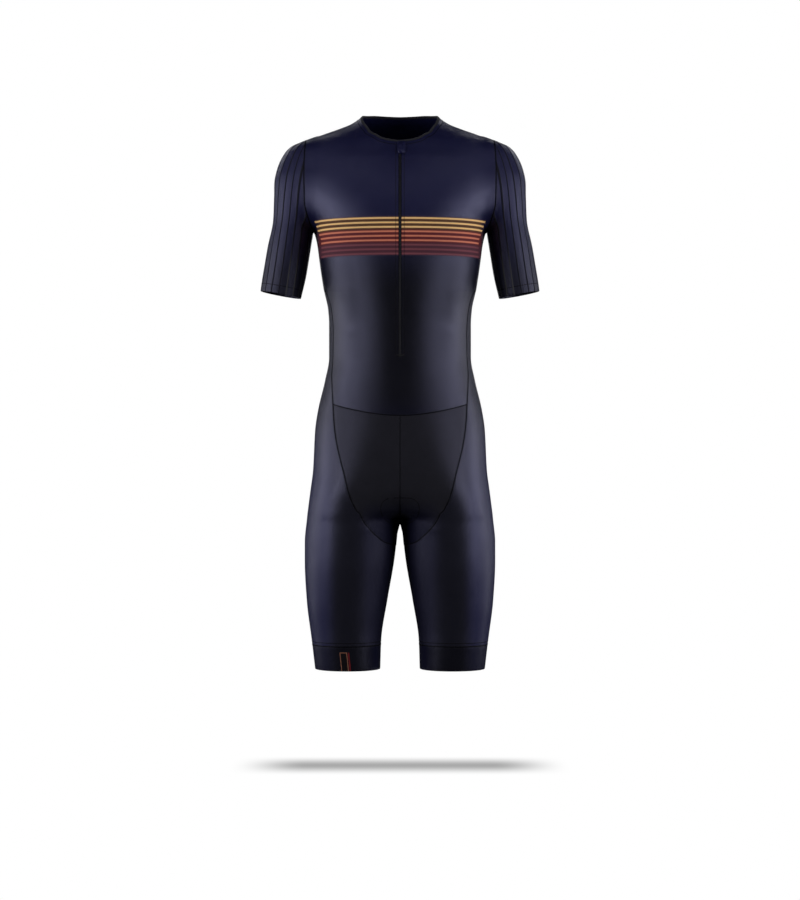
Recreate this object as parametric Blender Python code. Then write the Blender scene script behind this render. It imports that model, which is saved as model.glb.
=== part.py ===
"""Short-sleeved triathlon suit, held out in its worn form with no wearer inside.

Tables and sizes are in millimetres and the meshes in metres. +Z is up, the front faces -Y and the
wearer's left is +X. The origin lies between the shoulders, where a wearer holds the suit up.

The cloth lies on one smooth general figure: sections by height for the trunk and legs, and sections
by height for the arms, joined with a soft fillet. Each cut piece is a net of points on that figure
between its seams, tucked in at every seam and given a wall.
"""
import math

import bpy
import numpy as np

# Driving sizes, mm
CLOTH = 1.5
SEAM_GAP = 0.3
SEAT_GAP = 0.35
ZIP_OPENING = 5.2
BAND_SEAM = -925.0
LEG_HEM = -969.0
CUFF_OUTER = (251.5, -290.0)
CUFF_INNER = (179.5, -303.4)
RIB_COUNT = 18
RIB_WIDTH_SHARE = 0.24
RIB_HEIGHT = 1.0
BINDING_HEIGHT = 3.2
BINDING_THICKNESS = 2.2
BINDING_END = 0.6
PAD_THICKNESS = 4.0
PAD_GAP = 0.7

# How round the cleft between the legs is, and how far the arms' middle lies behind the trunk's
CLEFT_SOFTNESS = 10.0
ARM_BACK = 4.0
ARM_TOP = -12.0
SHOULDER_PIVOT = -100.0
SHOULDER_SEAM_ANGLE = 94.0

# Trunk and legs. square: 2 is an ellipse, more is boxier. lobe: middle of each leg. bridge: share
# of the depth kept between the legs. gap: half the space between the legs.
BODY_COLUMNS = ("height", "half_width", "front", "back", "square", "lobe", "bridge", "gap")
BODY_SECTIONS = (
    (60, 58.0, 40, 46, 2.00, 0, 1, 0),
    (27, 66.5, 43, 50, 2.00, 0, 1, 0),
    (11, 86.0, 47, 60, 1.85, 0, 1, 0),
    (0, 113.0, 50, 67, 1.75, 0, 1, 0),
    (-11, 144.0, 55, 74, 1.75, 0, 1, 0),
    (-22, 166.0, 62, 80, 1.80, 0, 1, 0),
    (-40, 178.0, 72, 88, 1.90, 0, 1, 0),
    (-60, 180.0, 83, 95, 2.00, 0, 1, 0),
    (-100, 176.0, 98, 102, 2.15, 0, 1, 0),
    (-140, 166.0, 107, 105, 2.25, 0, 1, 0),
    (-184, 150.6, 111, 105, 2.30, 0, 1, 0),
    (-195, 149.2, 111, 104.5, 2.30, 0, 1, 0),
    (-220, 146.7, 111, 103, 2.30, 0, 1, 0),
    (-288, 136.9, 104, 97, 2.30, 0, 1, 0),
    (-324, 129.3, 100, 93, 2.25, 0, 1, 0),
    (-350, 127.6, 97, 90, 2.20, 0, 1, 0),
    (-410, 127.6, 93, 88, 2.20, 0, 1, 0),
    (-450, 134.6, 92, 89, 2.20, 0, 1, 0),
    (-504, 147.3, 93, 96, 2.25, 0, 1, 0),
    (-540, 152.6, 94, 103, 2.30, 10, 1, 0),
    (-612, 156.3, 96, 113, 2.35, 45, 1, 0),
    (-648, 160.9, 95, 112, 2.35, 68, 0.985, 0),
    (-684, 165.6, 91, 106, 2.30, 83, 0.80, 0),
    (-692, 166.6, 90, 104, 2.28, 85, 0.56, 0),
    (-696, 167.0, 89.4, 103, 2.26, 85.6, 0.34, 0),
    (-698, 167.3, 89, 102, 2.25, 86, 0, 0),
    (-702, 167.6, 88.5, 101, 2.25, 86, 0, 3.3),
    (-720, 169.7, 87.3, 97, 2.22, 87.2, 0, 4.4),
    (-738, 171.2, 86, 93, 2.20, 88.5, 0, 6.0),
    (-774, 171.3, 83, 87, 2.20, 91, 0, 10.3),
    (-846, 167.7, 74, 77, 2.15, 95.5, 0, 22.8),
    (-918, 158.7, 64.5, 67, 2.10, 96.3, 0, 33.8),
    (-975, 152.0, 60, 61.5, 2.10, 93.6, 0, 35.6),
)

ARM_COLUMNS = ("height", "centre", "half_width", "depth", "square")
ARM_SECTIONS = (
    (-12, 150.0, 3.0, 4.0, 2.0),
    (-22, 153.5, 23.0, 26.0, 2.0),
    (-32, 160.0, 37.8, 34.0, 2.0),
    (-43, 165.0, 43.0, 39.0, 2.0),
    (-65, 172.3, 46.8, 44.5, 2.0),
    (-86, 177.0, 47.7, 48.0, 2.1),
    (-119, 183.0, 43.2, 49.0, 2.1),
    (-162, 188.5, 39.4, 46.5, 2.1),
    (-184, 195.0, 36.6, 45.5, 2.1),
    (-195, 196.8, 37.6, 45.0, 2.1),
    (-216, 200.3, 38.5, 44.0, 2.1),
    (-259, 207.4, 38.7, 41.5, 2.1),
    (-302, 215.5, 37.0, 39.0, 2.1),
    (-324, 219.5, 36.0, 38.0, 2.1),
)

# How widely the arm flows into the trunk, by height
FILLET_COLUMNS = ("height", "width")
FILLETS = ((-10, 8.0), (-40, 24.0), (-110, 42.0), (-150, 38.0), (-184, 16.0))

# Distance of the sleeve seam from the middle, by height
ARMHOLE_COLUMNS = ("height", "across")
ARMHOLE = ((-20, 169.0), (-70, 171.0), (-135, 170.0), (-165, 163.0), (-186, 154.5))

# Neck edge by bearing: 0 is the middle of the front, 180 the middle of the back
NECK_COLUMNS = ("bearing", "height")
NECK_EDGE = ((0, -29.8), (12, -28.3), (21, -26.2), (31, -22.1), (38, -17.1), (43.5, -13.9),
             (49, -9.9), (53, -5.0), (58, 0.3), (64.5, 6.7), (74.5, 15.5), (90, 23.0), (110, 25.5),
             (135, 27.5), (160, 27.3), (180, 27.0))

# The seam down the front of the side panel: its tip, waist and the front of the thigh
SIDE_SEAM_COLUMNS = ("height", "across")
SIDE_SEAM = ((-288, 136.4), (-300, 129.3), (-327, 122.0), (-362, 119.0), (-407, 119.4),
             (-443, 121.6), (-495, 119.0), (-531, 116.8), (-569, 111.0), (-616, 99.3),
             (-661, 87.4), (-684, 76.1))

# ... and below it, turning round the inside of the thigh: bearing inwards about the leg's middle
THIGH_SEAM_COLUMNS = ("height", "inward")
THIGH_SEAM = ((-684, 7.0), (-709, 17.5), (-729, 33.0), (-739, 45.0), (-743, 58.0), (-745, 74.0),
              (-746, 90.0))

# Rows of the front and back: height at the side edge and at the middle
TRUNK_ROWS = ((-185.5, -185.5), (-219, -222), (-253, -260), (-288, -298), (-329, -336),
              (-371, -372), (-412, -412.5), (-453, -462), (-495, -515))
TIP_ROW = 3
ZIP_BOTTOM_ROW = 6

TRUNK_COLUMNS = 12
LEG_COLUMNS = 18
LEG_LOWER_ROWS = 4
BAND_ROWS = 2

# Rows of the brief: shares of the panel seam and of the middle line, and the height that the same
# row has on the outside of the leg
BRIEF_ROWS = np.array(((0.00, 0.00, -495), (0.12, 0.12, -528), (0.24, 0.24, -561), (0.36, 0.37, -594),
              (0.48, 0.50, -626), (0.59, 0.62, -658), (0.69, 0.73, -690), (0.77, 0.82, -718),
              (0.84, 0.89, -742), (0.91, 0.95, -764), (1.00, 1.00, -786)))

# Places along shared seams
SIDES = (("front", -1), ("back", 1))
HANDS = (("left", False), ("right", True))
NECK_STOPS = np.array((0, 13, 26, 39, 51, 63, 76, 95, 112, 126, 138, 150, 161, 171, 180), dtype=float)
SHOULDER_STOP = 7
TRUNK_SHARES = np.array((0, 0.045, 0.12, 0.21, 0.30, 0.39, 0.48, 0.57, 0.66, 0.75, 0.83, 0.92, 1.0))
SHOULDER_SHARES = np.array((0, 0.14, 0.36, 0.58, 0.80, 1.0))
ARMPIT_STATION = 28
ARMHOLE_STOPS = [28, 26, 23, 20, 17, 14, 11, 8, 5, 2, 0]
WAIST_STOPS = [0, 2, 4, 6, 8, 10, -1]
BRIEF_SHARES = np.array((0, 0.2, 0.4, 0.58, 0.74, 0.88, 1.0))
SLEEVE_SHARES = (0.03, 0.07, 0.12, 0.18, 0.26, 0.36, 0.48, 0.61, 0.74, 0.87)
CROTCH_PIVOT = -610.0
HIP_PIVOT = np.array((45.0, 0.0, -635.0))
SLEEVE_PIVOT = np.array((150.0, 4.0, -100.0))
HIP_REACH = 230.0

# Neck edge profile: shares of its thickness and height about its middle
BINDING_PROFILE = ((0.5, -0.5), (0.5, 0.2), (0.2, 0.5), (-0.2, 0.5), (-0.5, 0.2), (-0.5, -0.5))

# Seat pad: columns each side of the middle, and the rows where it starts at front and back
PAD_COLUMNS = 4
PAD_FRONT_ROW = 5
PAD_BACK_ROW = 4

# Zip: tape's inner and outer side and depths; teeth and slider half width, lower and upper side
TAPE = (0.3, 12.0, -2.7, -1.9)
TEETH = (1.7, -1.6, 0.25)
TEETH_END_SHARE = 0.92
SLIDER = (2.5, 0.9, 2.9)
SLIDER_DROP = 13.0
SLIDER_LENGTH = 9.0
GARAGE_CENTRE = 2.8
GARAGE_CLOTH = 1.0
GARAGE_SHARES = (-1.0, -0.75, -0.2, 0.3, 0.75, 1.0)
GARAGE_PROFILE = (0.0, 0.92, 1.0, 0.8, 0.2, 0.0)

# Garage rows: drop below the neck edge, half width and lift off the zip
GARAGE_ROWS = ((0.6, 7.6, 0.3), (5.0, 7.6, 1.8), (11.0, 7.6, 3.4), (19.0, 7.6, 3.4), (23.0, 7.0, 3.0),
               (26.0, 5.6, 1.6), (27.6, 3.4, 0.4))

COLOURS = {
    "navy": ((0.020, 0.020, 0.045, 1.0), 0.55),
    "charcoal": ((0.014, 0.014, 0.020, 1.0), 0.60),
    "trim": ((0.060, 0.060, 0.075, 1.0), 0.60),
    "zip": ((0.010, 0.010, 0.012, 1.0), 0.40),
}


class Sections:
    """A table of sections, read between its rows as smooth curves that never overshoot them."""

    def __init__(self, columns, rows):
        table = np.array(sorted(rows), dtype=float)
        self.names = columns[1:]
        self.keys = table[:, 0]
        self.values = table[:, 1:]
        rises = np.diff(self.values, axis=0) / np.diff(self.keys)[:, None]
        self.slopes = np.zeros_like(self.values)
        self.slopes[0] = rises[0]
        self.slopes[-1] = rises[-1]
        before, after = rises[:-1], rises[1:]
        together = before * after > 0
        total = np.where(together, before + after, 1.0)
        self.slopes[1:-1] = np.where(together, 2 * before * after / total, 0.0)

    def at(self, key):
        """The row at a key, or rows at many keys, as a dictionary of the named columns."""
        key = np.clip(np.asarray(key, dtype=float), self.keys[0], self.keys[-1])
        row = np.clip(np.searchsorted(self.keys, key) - 1, 0, len(self.keys) - 2)
        step = self.keys[row + 1] - self.keys[row]
        t = ((key - self.keys[row]) / step)[..., None]
        step = step[..., None]
        start, end = self.values[row], self.values[row + 1]
        slope_in, slope_out = self.slopes[row] * step, self.slopes[row + 1] * step
        value = (start * (1 + 2 * t) * (1 - t) ** 2 + end * t * t * (3 - 2 * t)
                 + slope_in * t * (1 - t) ** 2 - slope_out * t * t * (1 - t))
        return {name: value[..., i] for i, name in enumerate(self.names)}


BODY = Sections(BODY_COLUMNS, BODY_SECTIONS)
ARM = Sections(ARM_COLUMNS, ARM_SECTIONS)
FILLET = Sections(FILLET_COLUMNS, FILLETS)
SLEEVE_SEAM = Sections(ARMHOLE_COLUMNS, ARMHOLE)
NECK = Sections(NECK_COLUMNS, NECK_EDGE)
FRONT_SEAM = Sections(SIDE_SEAM_COLUMNS, SIDE_SEAM)
INNER_SEAM = Sections(("inward", "height"), [(inward, height) for height, inward in THIGH_SEAM])


# ---- The figure that the cloth lies on ----

def trunk_and_legs(points):
    """Below zero inside the trunk and legs, above zero outside, about a distance near the skin."""
    x, y, z = points.T
    s = BODY.at(z)
    square = s["square"]
    reach = np.hypot(x, CLEFT_SOFTNESS) - s["lobe"]
    outer = np.hypot(s["half_width"], CLEFT_SOFTNESS) - s["lobe"]
    inner = np.maximum(s["lobe"] - np.hypot(s["gap"], CLEFT_SOFTNESS), 1.0)
    bridge = np.clip(s["bridge"], 0, 1)
    pinch = (1 - bridge ** square) ** (1 / square)
    wide = np.where(reach > 0, reach / outer, -reach * pinch / inner)
    deep = np.where(y < 0, -y / s["front"], y / s["back"])
    return ((wide ** square + deep ** square) ** (1 / square) - 1) * outer


def arms(points):
    x, y, z = points.T
    s = ARM.at(z)
    wide = np.abs(np.abs(x) - s["centre"]) / s["half_width"]
    deep = np.abs(y - ARM_BACK) / s["depth"]
    ring = (wide ** s["square"] + deep ** s["square"]) ** (1 / s["square"])
    return np.maximum((ring - 1) * s["half_width"], z - ARM_TOP)


def figure(points):
    """Trunk, legs and arms as one form, with a fillet where the arms leave the trunk."""
    trunk, arm = trunk_and_legs(points), arms(points)
    width = FILLET.at(points[:, 2])["width"]
    mix = np.clip(0.5 + 0.5 * (arm - trunk) / width, 0, 1)
    return arm + (trunk - arm) * mix - width * mix * (1 - mix)


def slope(points):
    """The gradient of the figure's form at each point."""
    step = 0.05
    rows = []
    for axis in np.eye(3):
        rows.append(figure(points + axis * step) - figure(points - axis * step))
    return np.stack(rows, axis=1) / (2 * step)


def outward(points):
    gradient = slope(points)
    return gradient / np.linalg.norm(gradient, axis=1)[:, None]


def settle(points, rounds=14):
    """Move points the shortest way onto the figure."""
    points = np.array(points, dtype=float)
    for _ in range(rounds):
        gradient = slope(points)
        size = (gradient ** 2).sum(axis=1)
        points -= gradient * (figure(points) / size)[:, None]
    return points


def cast(starts, directions, reach, form=figure):
    """Where rays that start inside a form leave it."""
    starts = np.atleast_2d(np.asarray(starts, dtype=float))
    directions = np.atleast_2d(np.asarray(directions, dtype=float))
    near = np.zeros(len(directions))
    far = near + reach
    for _ in range(40):
        middle = (near + far) / 2
        inside = form(starts + directions * middle[:, None]) < 0
        near = np.where(inside, middle, near)
        far = np.where(inside, far, middle)
    return starts + directions * near[:, None]


# ---- Rows of points between two places on the figure ----

def about_shoulder(points):
    """Angle about the level axis through the shoulders: 0 is forward and 90 degrees is up."""
    return np.arctan2(points[:, 2] - SHOULDER_PIVOT, -points[:, 1])


def over_shoulder(start, end, armhole, near):
    """A column from one place up to another, with a share of the armhole's curve beside it."""
    angle = np.unwrap(about_shoulder(armhole))
    shares = (angle - angle[0]) / (angle[-1] - angle[0])
    first, last = about_shoulder(np.array([start, end]))
    first += 2 * math.pi * round((angle[0] - first) / (2 * math.pi))
    last += 2 * math.pi * round((angle[-1] - last) / (2 * math.pi))
    angle = first + (last - first) * shares
    straight = armhole[0][0] + (armhole[-1][0] - armhole[0][0]) * shares
    x = start[0] + (end[0] - start[0]) * shares + (armhole[:, 0] - straight) * near
    starts = np.stack([x, np.zeros_like(x), np.full_like(x, SHOULDER_PIVOT)], axis=1)
    rays = np.stack([np.zeros_like(x), -np.cos(angle), np.sin(angle)], axis=1)
    row = cast(starts, rays, 170.0)
    row[0], row[-1] = start, end
    return row


def spread(curve, shares):
    """Points at shares of a curve's length."""
    lengths = np.r_[0, np.cumsum(np.linalg.norm(np.diff(curve, axis=0), axis=1))]
    wanted = np.asarray(shares, dtype=float) * lengths[-1]
    return np.stack([np.interp(wanted, lengths, curve[:, i]) for i in range(3)], axis=1)


def on_skin(across, height, side):
    """The point of the trunk's front, side -1, or back, side 1, at a distance from the middle."""
    across, height = np.atleast_1d(across).astype(float), np.atleast_1d(height).astype(float)
    start = np.stack([across, np.zeros_like(across), height], axis=1)
    return cast(start, np.tile((0.0, side, 0.0), (len(across), 1)), 160.0, trunk_and_legs)


def mirror(points):
    return np.asarray(points) * (-1.0, 1.0, 1.0)


class Cloth:
    """A cut piece: its points on the figure, its faces, and how far each point is raised."""

    def __init__(self):
        self.points = []
        self.raised = []
        self.faces = []
        self.found = {}

    def corner(self, point, raised=0.0):
        key = tuple(np.round(point, 4))
        if key not in self.found:
            self.found[key] = len(self.points)
            self.points.append(np.asarray(point, dtype=float))
            self.raised.append(raised)
        return self.found[key]

    def net(self, rows, raised=None, skip=None):
        """Faces between rows of points, leaving out repeated corners and skipped places."""
        ids = [[self.corner(point, 0.0 if raised is None else raised[i][j])
                for j, point in enumerate(row)] for i, row in enumerate(rows)]
        loops = []
        for i in range(len(ids) - 1):
            for j in range(len(ids[i]) - 1):
                loop = (ids[i][j], ids[i][j + 1], ids[i + 1][j + 1], ids[i + 1][j])
                loop = [v for n, v in enumerate(loop) if v != loop[n - 1]]
                if len(loop) > 2 and not (skip and skip(i, j)):
                    loops.append(loop)
        turned = sum(self.facing(loop) for loop in loops) < 0
        self.faces += [loop[::-1] if turned else loop for loop in loops]

    def facing(self, loop):
        """Above zero where a face looks outward."""
        corners = np.array([self.points[v] for v in loop])
        area = sum(np.cross(corners[n - 1], corners[n]) for n in range(len(corners)))
        return float(area @ outward(corners.mean(axis=0)[None])[0])

    def edges(self):
        """Each edge of the piece's border, once, in the direction of its face."""
        seen = {}
        for f, face in enumerate(self.faces):
            for n, v in enumerate(face):
                seen[(face[n - 1], v)] = f
        return {edge: f for edge, f in seen.items() if (edge[1], edge[0]) not in seen}

    def follow(self, seam):
        """Give the border every point of a seam that it only meets at some of them."""
        places = {tuple(np.round(point, 4)): n for n, point in enumerate(seam)}
        at = {v: places[key] for key, v in self.found.items() if key in places}
        for (a, b), f in self.edges().items():
            if a not in at or b not in at or abs(at[a] - at[b]) < 2:
                continue
            step = 1 if at[b] > at[a] else -1
            line = [a] + [self.corner(seam[n]) for n in range(at[a] + step, at[b], step)] + [b]
            face = self.faces[f]
            after = face[face.index(b) + 1 - len(face)]
            before = face[face.index(a) - 1]
            self.faces[f] = []
            half = len(line) / 2 - 1
            for n in range(len(line) - 1):
                if n == half or (n > half and n - 1 < half):
                    self.faces.append([line[n], line[n + 1], after, before])
                else:
                    self.faces.append([line[n], line[n + 1], before if n < half else after])
            if after == before:
                self.faces = [list(dict.fromkeys(face)) for face in self.faces]
        self.faces = [face for face in self.faces if face]

    def halves(self):
        """The faces as triangles, a four-sided one cut along its shorter diagonal."""
        made = []
        for face in self.faces:
            corners = [self.points[v] for v in face]
            if len(face) == 4:
                turn = math.dist(corners[0], corners[2]) > math.dist(corners[1], corners[3])
                face = face[turn:] + face[:turn]
                made.append([face[0], face[2], face[3]])
            made.append(face[:3])
        return made

    def tucked(self):
        """The points, with the border moved in by half of a seam's gap."""
        points = np.array(self.points)
        normals = outward(points)
        pulls = np.zeros_like(points)
        for a, b in self.edges():
            along = points[b] - points[a]
            inward = np.cross(normals[a] + normals[b], along)
            inward /= np.linalg.norm(inward)
            pulls[a] += inward
            pulls[b] += inward
        size = (pulls ** 2).sum(axis=1)
        border = size > 0
        pulls[border] *= (SEAM_GAP / size[border])[:, None]
        return points + pulls, normals

    def wall(self, name, colour, flip=False):
        """The solid: these points, the same points one wall further in, and the rim between."""
        points, normals = self.tucked()
        outer = points + normals * np.array(self.raised)[:, None]
        inner = points - normals * CLOTH
        count = len(outer)
        faces = self.halves()
        faces += [[v + count for v in reversed(face)] for face in faces]
        faces += [[b, a, a + count, b + count] for a, b in self.edges()]
        return solid(name, np.vstack([outer, inner]), faces, colour, flip)


def solid(name, points, faces, colour, flip=False):
    """A named object from points in millimetres. flip makes the mirrored twin."""
    points = np.array(points)
    if flip:
        points = mirror(points)
        faces = [list(reversed(face)) for face in faces]
    mesh = bpy.data.meshes.new(name)
    mesh.from_pydata([tuple(p * 0.001) for p in points], [], faces)
    mesh.update()
    mesh.shade_smooth()
    mesh.set_sharp_from_angle(angle=math.radians(40))
    mesh.materials.append(material(colour))
    made = bpy.data.objects.new(name, mesh)
    bpy.context.scene.collection.objects.link(made)
    return made


def solid_shell(name, cloth, lift, thickness, colour):
    """A layer of even thickness over a net, lifted off it by a number or by one for each point."""
    points = np.array(cloth.points)
    normals = outward(points)
    lift = (lift + np.zeros(len(points)))[:, None]
    faces = cloth.halves()
    faces += [[v + len(points) for v in reversed(face)] for face in faces]
    faces = [face[::-1] for face in faces]
    faces += [[b + len(points), a + len(points), a, b] for a, b in cloth.edges()]
    layers = np.vstack([points + normals * lift, points + normals * (lift + thickness)])
    return solid(name, layers, faces, colour)


def material(colour):
    made = bpy.data.materials.get(colour)
    if made is None:
        base, roughness = COLOURS[colour]
        made = bpy.data.materials.new(colour)
        made.use_nodes = True
        shader = made.node_tree.nodes["Principled BSDF"]
        shader.inputs["Base Color"].default_value = base
        shader.inputs["Roughness"].default_value = roughness
        shader.inputs["Metallic"].default_value = 0.0
    return made


def ring_solid(name, rings, colour, flip=False):
    """A solid swept through rings of equal count and capped at both ends."""
    size = len(rings[0])
    points = np.vstack([np.asarray(ring) for ring in rings])
    faces = [list(range(size))[::-1], [len(points) - size + n for n in range(size)]]
    for i in range(len(rings) - 1):
        for n in range(size):
            m = (n + 1) % size
            faces.append([i * size + n, i * size + m, (i + 1) * size + m, (i + 1) * size + n])
    volume = sum(points[face[0]] @ np.cross(points[face[n]], points[face[n + 1]])
                 for face in faces for n in range(1, len(face) - 1))
    if volume < 0:
        faces = [face[::-1] for face in faces]
    return solid(name, points, faces, colour, flip)


# ---- Seams, each worked out once on the wearer's left ----

def sleeve_stations():
    """Shares of the way round a sleeve and whether each is raised: two seams, and each rib's foot,
    crest and foot."""
    half = RIB_WIDTH_SHARE / 2
    stations = []
    for rib in range(RIB_COUNT):
        if rib in (0, RIB_COUNT // 2):
            stations.append((rib / RIB_COUNT, 0.0))
        for place, raised in ((0.5 - half, 0.0), (0.5, 1.0), (0.5 + half, 0.0)):
            stations.append(((rib + place) / RIB_COUNT, raised))
    return np.array(stations)


def armhole_curve(first_angle, last_angle):
    """Part of the sleeve seam, by angle about the shoulder: 0 is forward and 90 is up."""
    angle = np.radians(np.linspace(first_angle, last_angle, 160))

    def place(radius):
        z = SHOULDER_PIVOT + radius * np.sin(angle)
        return np.stack([SLEEVE_SEAM.at(z)["across"], -radius * np.cos(angle), z], axis=1)

    near, far = np.zeros_like(angle), np.full_like(angle, 150.0)
    for _ in range(40):
        middle = (near + far) / 2
        inside = figure(place(middle)) < 0
        near, far = np.where(inside, middle, near), np.where(inside, far, middle)
    return place(near)


def cuff_curve(first_angle, last_angle):
    """Part of the cuff's edge: 0 is forward and 90 is outward."""
    outer = np.array((CUFF_OUTER[0], ARM_BACK, CUFF_OUTER[1]))
    inner = np.array((CUFF_INNER[0], ARM_BACK, CUFF_INNER[1]))
    middle = (outer + inner) / 2
    out = (outer - inner) / np.linalg.norm(outer - inner)
    angle = np.radians(np.linspace(first_angle, last_angle, 120))[:, None]
    rays = np.cos(angle) * (0.0, -1.0, 0.0) + np.sin(angle) * out
    return cast(np.tile(middle, (len(rays), 1)), rays, 90.0, arms)


def ring_from_halves(front_half, back_half, shares):
    """A closed ring at shares of the way round: down its front, then up its back."""
    front = shares[shares < 0.5] * 2
    back = (shares[shares >= 0.5] - 0.5) * 2
    return np.vstack([spread(front_half, front), spread(back_half, back)])


def neck_ring():
    """The neck edge from the middle of the front to the middle of the back."""
    bearing = np.radians(NECK_STOPS)
    height = NECK.at(NECK_STOPS)["height"]
    centres = np.stack([0 * height, 0 * height, height], axis=1)
    rays = np.stack([np.sin(bearing), -np.cos(bearing), 0 * bearing], axis=1)
    return cast(centres, rays, 200.0)


def shoulder_seam(start, end):
    """The seam over the shoulder from the sleeve to the neck, just behind the ridge."""
    x = start[0] + (end[0] - start[0]) * SHOULDER_SHARES
    angle = math.radians(SHOULDER_SEAM_ANGLE)
    starts = np.stack([x, 0 * x, 0 * x + SHOULDER_PIVOT], axis=1)
    row = cast(starts, np.tile((0, -math.cos(angle), math.sin(angle)), (len(x), 1)), 170.0)
    row[0], row[-1] = start, end
    return row


def side_edge(number, armpit, side):
    """Where a row of the trunk meets the side seam, or the side panel's seam below its tip."""
    height = TRUNK_ROWS[number][0]
    if number == 0:
        return armpit
    if number <= TIP_ROW:
        half_width = float(BODY.at(height)["half_width"])
        return settle([(half_width, 0.0, height)], 6)[0]
    return on_skin(FRONT_SEAM.at(height)["across"], height, side)[0]


def panel_seam(side):
    """The side panel's seam from the waist down and round the inside of the thigh."""
    line = [on_skin(FRONT_SEAM.at(height)["across"], height, side)[0]
            for height in np.linspace(TRUNK_ROWS[-1][0], SIDE_SEAM[-1][0], 24)]
    for inward in np.linspace(THIGH_SEAM[0][1], 90.0, 24)[1:]:
        height = float(INNER_SEAM.at(inward)["height"])
        lobe = float(BODY.at(height)["lobe"])
        angle = math.radians(inward)
        ray = (-math.sin(angle), side * math.cos(angle), 0.0)
        line.append(cast((lobe, 0.0, height), ray, 120.0, trunk_and_legs)[0])
    return spread(np.array(line), BRIEF_ROWS[:, 0])


def centre_seam(side):
    """The middle line from the waist to the crotch."""
    line = [on_skin(0.0, height, side)[0]
            for height in np.linspace(TRUNK_ROWS[-1][1], CROTCH_PIVOT, 12)]
    for angle in np.radians(np.linspace(4, 90, 30)):
        ray = (0.0, side * math.cos(angle), -math.sin(angle))
        line.append(cast((0.0, 0.0, CROTCH_PIVOT), ray, 160.0, trunk_and_legs)[0])
    return spread(np.array(line), BRIEF_ROWS[:, 1])


def inseam(crotch, end, count):
    """The inside of the thigh from the crotch down to the end of the side panel's seam."""
    heights = np.linspace(crotch[2], end[2], count + 1)[1:-1]
    points = [(float(BODY.at(height)["gap"]), 0.0, height) for height in heights]
    return np.vstack([crotch, settle(points, 6), end])


def left_seams():
    """Every shared seam line of the wearer's left side."""
    shares = sleeve_stations()[:, 0]
    front_arc = armhole_curve(SHOULDER_SEAM_ANGLE, -90.0)
    back_arc = armhole_curve(-90.0, SHOULDER_SEAM_ANGLE - 360.0)
    seams = {"armhole": settle(ring_from_halves(front_arc, back_arc, shares), 3)}
    seams["cuff"] = ring_from_halves(cuff_curve(98.0, -90.0), cuff_curve(-90.0, -262.0), shares)
    seams["neck"] = neck_ring()
    seams["shoulder"] = shoulder_seam(seams["armhole"][0], seams["neck"][SHOULDER_STOP])
    armpit = seams["armhole"][ARMPIT_STATION]
    for name, side in SIDES:
        seams[name + "_edge"] = [side_edge(row, armpit, side) for row in range(len(TRUNK_ROWS))]
        seams[name + "_panel"] = panel_seam(side)
        seams[name + "_middle"] = centre_seam(side)
    seams["back_panel"][-1] = seams["front_panel"][-1]
    seams["back_middle"][-1] = seams["front_middle"][-1]
    seams["inseam"] = inseam(seams["front_middle"][-1], seams["front_panel"][-1], len(WAIST_STOPS) - 1)
    return seams


# ---- Front and back of the trunk ----

def trunk_row(edge, middle, heights, side):
    """A row from the side to the middle, at a height that eases from one to the other."""
    shares = TRUNK_SHARES
    first = math.atan2(edge[0], side * edge[1])
    last = math.atan2(middle[0], side * middle[1])
    bearing = first + (last - first) * shares
    height = heights[0] + (heights[1] - heights[0]) * (1 - (1 - shares) ** 2)
    starts = np.stack([0 * height, 0 * height, height], axis=1)
    rays = np.stack([np.sin(bearing), side * np.cos(bearing), 0 * bearing], axis=1)
    row = settle(cast(starts, rays, 260.0, trunk_and_legs), 6)
    row[0], row[-1] = edge, middle
    return row


def trunk_rows(seams, name, side, middle_x, neck):
    """Rows of half the front or back, from the waist seam up to the shoulder and neck."""
    lower = []
    for heights, edge in zip(TRUNK_ROWS, seams[name + "_edge"]):
        lower.append(trunk_row(edge, on_skin(middle_x, heights[1], side)[0], heights, side))
    top = np.vstack([seams["shoulder"], neck[1:]])
    steps = ARMHOLE_STOPS if side < 0 else [-n % len(seams["armhole"]) for n in ARMHOLE_STOPS]
    armhole = seams["armhole"][steps]
    columns = [armhole]
    for column in range(1, TRUNK_COLUMNS + 1):
        near = (1 - TRUNK_SHARES[column]) ** 2
        columns.append(over_shoulder(lower[0][column], top[column], armhole, near))
    upper = [np.array([column[i] for column in columns]) for i in range(1, len(ARMHOLE_STOPS))]
    return lower[::-1] + upper


def front_neck(seams):
    """The neck edge from the shoulder seam to the zip opening."""
    neck = seams["neck"][SHOULDER_STOP::-1].copy()
    neck[-1] = on_skin(ZIP_OPENING / 2, neck[-1][2], -1)[0]
    return neck


def front_body(seams):
    neck = front_neck(seams)
    rows = trunk_rows(seams, "front", -1, ZIP_OPENING / 2, neck)
    opening_row = len(TRUNK_ROWS) - 1 - ZIP_BOTTOM_ROW
    cloth = Cloth()
    cloth.net([np.vstack([row, mirror(row[::-1])]) for row in rows],
              skip=lambda i, j: j == TRUNK_COLUMNS and i >= opening_row)
    hole = seams["armhole"][:ARMPIT_STATION + 1]
    waist = np.vstack([rows[0], seams["front_middle"][:1], mirror(rows[0][::-1])])
    for line in (hole, mirror(hole), waist):
        cloth.follow(line)
    cloth.wall("front_body", "navy")
    return rows


def back_body(seams):
    neck = seams["neck"][SHOULDER_STOP:]
    rows = trunk_rows(seams, "back", 1, 0.0, neck)
    cloth = Cloth()
    cloth.net([np.vstack([row, mirror(row[::-1])[1:]]) for row in rows])
    hole = np.vstack([seams["armhole"][ARMPIT_STATION:], seams["armhole"][:1]])
    for line in (hole, mirror(hole)):
        cloth.follow(line)
    cloth.wall("back_body", "navy")
    return rows


# ---- Brief, seat and legs ----

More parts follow.
